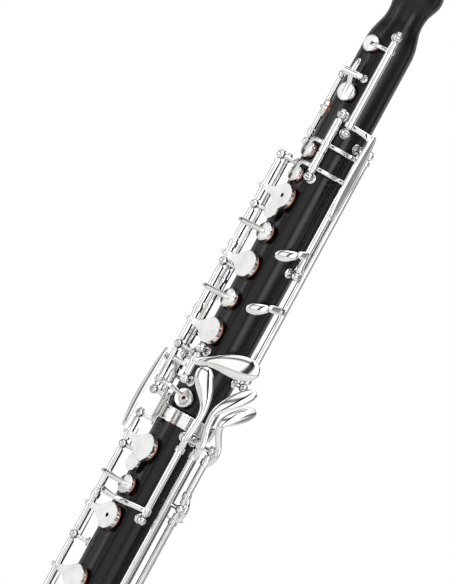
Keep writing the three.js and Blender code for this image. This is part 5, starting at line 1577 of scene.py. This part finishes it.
def floor_finish():
    material, tree, shader, where = new_material("Floor")
    grain = stretched_noise(tree, where, (60, 60, 60), 4.0)
    tree.links.new(blend_colours(tree, grain, colour("floor"), shaded("floor", 0.97)),
                   shader.inputs["Base Color"])
    shader.inputs["Roughness"].default_value = 0.7
    bump(tree, shader, grain, 0.2, 0.2)
    return material


def make_stage():
    studio = bpy.context.scene.oboe_studio
    leave_editing()
    bpy.ops.object.select_all(action="DESELECT")
    bpy.ops.mesh.primitive_circle_add(vertices=96, radius=2.2, fill_type="NGON", location=(0, 0, 0))
    floor = bpy.context.object
    floor.name = "Floor"
    bpy.ops.object.mode_set(mode="EDIT")
    bpy.ops.mesh.inset(thickness=0.6)
    bpy.ops.object.mode_set(mode="OBJECT")
    floor.data.materials.append(floor_finish())
    make_world(studio)
    middle = (0, 0, 0.42)
    area_light("Key_light", (1.3, -0.35, 0.95), middle, 0.5, 1.5, 5)
    area_light("Left_light", (-0.55, -1.35, 0.6), middle, 0.35, 1.6, 3.2)
    area_light("Top_light", (0.3, -0.2, 1.9), middle, 1.2, 1.2, 5)
    area_light("Back_light", (-1.1, 1.1, 0.8), middle, 1.2, 1.4, 4)
    make_camera(studio)
    bpy.context.scene.view_settings.view_transform = "Standard"


# ------------------------------------------------------------------ operators


class OBOE_OT_upper_joint(bpy.types.Operator):
    """Turn the upper joint and cut its pad seats"""
    bl_idname = "oboe.upper_joint"
    bl_label = "Upper joint"
    bl_options = {"REGISTER", "UNDO"}

    def execute(self, context):
        make_upper_joint()
        return {"FINISHED"}


class OBOE_OT_lower_joint(bpy.types.Operator):
    """Turn the lower joint and cut its pad seats"""
    bl_idname = "oboe.lower_joint"
    bl_label = "Lower joint"
    bl_options = {"REGISTER", "UNDO"}

    def execute(self, context):
        make_lower_joint()
        return {"FINISHED"}


class OBOE_OT_bell(bpy.types.Operator):
    """Turn the bell"""
    bl_idname = "oboe.bell"
    bl_label = "Bell"
    bl_options = {"REGISTER", "UNDO"}

    def execute(self, context):
        make_bell()
        return {"FINISHED"}


class OBOE_OT_bands(bpy.types.Operator):
    """Turn the bands round the sockets and the bell's rim"""
    bl_idname = "oboe.bands"
    bl_label = "Silver bands"
    bl_options = {"REGISTER", "UNDO"}

    def execute(self, context):
        make_rings()
        return {"FINISHED"}


class OBOE_OT_tenon_corks(bpy.types.Operator):
    """Turn the corks that seal the joints"""
    bl_idname = "oboe.tenon_corks"
    bl_label = "Tenon corks"
    bl_options = {"REGISTER", "UNDO"}

    def execute(self, context):
        make_tenon_corks()
        return {"FINISHED"}


class OBOE_OT_reed(bpy.types.Operator):
    """Make the staple, its cork and thread, and the cane blades"""
    bl_idname = "oboe.reed"
    bl_label = "Reed"
    bl_options = {"REGISTER", "UNDO"}

    def execute(self, context):
        make_reed()
        return {"FINISHED"}


class OBOE_OT_thumb_rest(bpy.types.Operator):
    """Make the thumb rest and its screws"""
    bl_idname = "oboe.thumb_rest"
    bl_label = "Thumb rest"
    bl_options = {"REGISTER", "UNDO"}

    def execute(self, context):
        make_thumb_rest()
        return {"FINISHED"}


class OBOE_OT_rods(bpy.types.Operator):
    """Make the steel rods and the ball posts that hold them"""
    bl_idname = "oboe.rods"
    bl_label = "Rods and posts"
    bl_options = {"REGISTER", "UNDO"}

    def execute(self, context):
        make_rods()
        return {"FINISHED"}


class OBOE_OT_upper_stack(bpy.types.Operator):
    """Make the upper joint's stack of finger keys and pads"""
    bl_idname = "oboe.upper_stack"
    bl_label = "Left-hand finger keys"
    bl_options = {"REGISTER", "UNDO"}

    def execute(self, context):
        make_upper_stack()
        return {"FINISHED"}


class OBOE_OT_lower_stack(bpy.types.Operator):
    """Make the lower joint's stack of finger keys and pads"""
    bl_idname = "oboe.lower_stack"
    bl_label = "Right-hand finger keys"
    bl_options = {"REGISTER", "UNDO"}

    def execute(self, context):
        make_lower_stack()
        return {"FINISHED"}


class OBOE_OT_bridge_lever(bpy.types.Operator):
    """Make the lever between the two joints"""
    bl_idname = "oboe.bridge_lever"
    bl_label = "Bridge lever"
    bl_options = {"REGISTER", "UNDO"}

    def execute(self, context):
        make_bridge_lever()
        return {"FINISHED"}


class OBOE_OT_trill_keys(bpy.types.Operator):
    """Make the two trill keys"""
    bl_idname = "oboe.trill_keys"
    bl_label = "Trill keys"
    bl_options = {"REGISTER", "UNDO"}

    def execute(self, context):
        make_trill_keys()
        return {"FINISHED"}


class OBOE_OT_trill_levers(bpy.types.Operator):
    """Make the two long side levers"""
    bl_idname = "oboe.trill_levers"
    bl_label = "Trill levers"
    bl_options = {"REGISTER", "UNDO"}

    def execute(self, context):
        make_trill_levers()
        return {"FINISHED"}


class OBOE_OT_side_octave_key(bpy.types.Operator):
    """Make the octave key with the long spatula"""
    bl_idname = "oboe.side_octave_key"
    bl_label = "Side octave key"
    bl_options = {"REGISTER", "UNDO"}

    def execute(self, context):
        make_side_octave_key()
        return {"FINISHED"}


class OBOE_OT_thumb_octave_key(bpy.types.Operator):
    """Make the octave key under the thumb"""
    bl_idname = "oboe.thumb_octave_key"
    bl_label = "Thumb octave key"
    bl_options = {"REGISTER", "UNDO"}

    def execute(self, context):
        make_thumb_octave_key()
        return {"FINISHED"}


class OBOE_OT_third_octave_key(bpy.types.Operator):
    """Make the small octave key on its cross pin"""
    bl_idname = "oboe.third_octave_key"
    bl_label = "Third octave key"
    bl_options = {"REGISTER", "UNDO"}

    def execute(self, context):
        make_third_octave_key()
        return {"FINISHED"}


class OBOE_OT_g_sharp_keys(bpy.types.Operator):
    """Make the G sharp key and its broad oval lever"""
    bl_idname = "oboe.g_sharp_keys"
    bl_label = "G sharp key and lever"
    bl_options = {"REGISTER", "UNDO"}

    def execute(self, context):
        make_g_sharp_keys()
        return {"FINISHED"}


class OBOE_OT_side_trill_key(bpy.types.Operator):
    """Make the blade key across the joints"""
    bl_idname = "oboe.side_trill_key"
    bl_label = "Side trill key"
    bl_options = {"REGISTER", "UNDO"}

    def execute(self, context):
        make_side_trill_key()
        return {"FINISHED"}


class OBOE_OT_left_little_keys(bpy.types.Operator):
    """Make the three long levers of the left little finger"""
    bl_idname = "oboe.left_little_keys"
    bl_label = "Left little-finger keys"
    bl_options = {"REGISTER", "UNDO"}

    def execute(self, context):
        make_left_little_keys()
        return {"FINISHED"}


class OBOE_OT_right_little_keys(bpy.types.Operator):
    """Make the keys of the right little finger"""
    bl_idname = "oboe.right_little_keys"
    bl_label = "Right little-finger keys"
    bl_options = {"REGISTER", "UNDO"}

    def execute(self, context):
        make_right_little_keys()
        return {"FINISHED"}


class OBOE_OT_bell_key(bpy.types.Operator):
    """Make the key on the bell"""
    bl_idname = "oboe.bell_key"
    bl_label = "Bell key"
    bl_options = {"REGISTER", "UNDO"}

    def execute(self, context):
        make_bell_key()
        return {"FINISHED"}


class OBOE_OT_springs(bpy.types.Operator):
    """Make the blued springs in the posts"""
    bl_idname = "oboe.springs"
    bl_label = "Needle springs"
    bl_options = {"REGISTER", "UNDO"}

    def execute(self, context):
        make_springs()
        return {"FINISHED"}


class OBOE_OT_stage(bpy.types.Operator):
    """Make the floor, the lights and the camera"""
    bl_idname = "oboe.stage"
    bl_label = "Floor, light and camera"
    bl_options = {"REGISTER", "UNDO"}

    def execute(self, context):
        make_stage()
        return {"FINISHED"}


STEPS = (
    OBOE_OT_upper_joint,
    OBOE_OT_lower_joint,
    OBOE_OT_bell,
    OBOE_OT_bands,
    OBOE_OT_tenon_corks,
    OBOE_OT_reed,
    OBOE_OT_thumb_rest,
    OBOE_OT_rods,
    OBOE_OT_upper_stack,
    OBOE_OT_lower_stack,
    OBOE_OT_bridge_lever,
    OBOE_OT_trill_keys,
    OBOE_OT_trill_levers,
    OBOE_OT_side_octave_key,
    OBOE_OT_thumb_octave_key,
    OBOE_OT_third_octave_key,
    OBOE_OT_g_sharp_keys,
    OBOE_OT_side_trill_key,
    OBOE_OT_left_little_keys,
    OBOE_OT_right_little_keys,
    OBOE_OT_bell_key,
    OBOE_OT_springs,
    OBOE_OT_stage,
)


class OBOE_PT_panel(bpy.types.Panel):
    """The oboe's sizes, finishes and pieces"""
    bl_idname = "OBOE_PT_panel"
    bl_label = "Oboe"
    bl_space_type = "VIEW_3D"
    bl_region_type = "UI"
    bl_category = "Oboe"

    def draw(self, context):
        layout = self.layout
        for step in STEPS:
            layout.operator(step.bl_idname)
        for group in (context.scene.oboe_sizes, context.scene.oboe_finishes,
                      context.scene.oboe_studio):
            box = layout.box()
            for name in group.__annotations__:
                box.prop(group, name)


CLASSES = (OboeSizes, OboeFinishes, OboeStudio, *STEPS, OBOE_PT_panel)


def register():
    for cls in CLASSES:
        bpy.utils.register_class(cls)
    bpy.types.Scene.oboe_sizes = bpy.props.PointerProperty(type=OboeSizes)
    bpy.types.Scene.oboe_finishes = bpy.props.PointerProperty(type=OboeFinishes)
    bpy.types.Scene.oboe_studio = bpy.props.PointerProperty(type=OboeStudio)


def unregister():
    del bpy.types.Scene.oboe_studio
    del bpy.types.Scene.oboe_finishes
    del bpy.types.Scene.oboe_sizes
    for cls in reversed(CLASSES):
        bpy.utils.unregister_class(cls)


def main():
    register()
    for step in STEPS:
        getattr(bpy.ops.oboe, step.bl_idname.split(".")[1])()
    leave_editing()


if __name__ == "__main__":
    main()
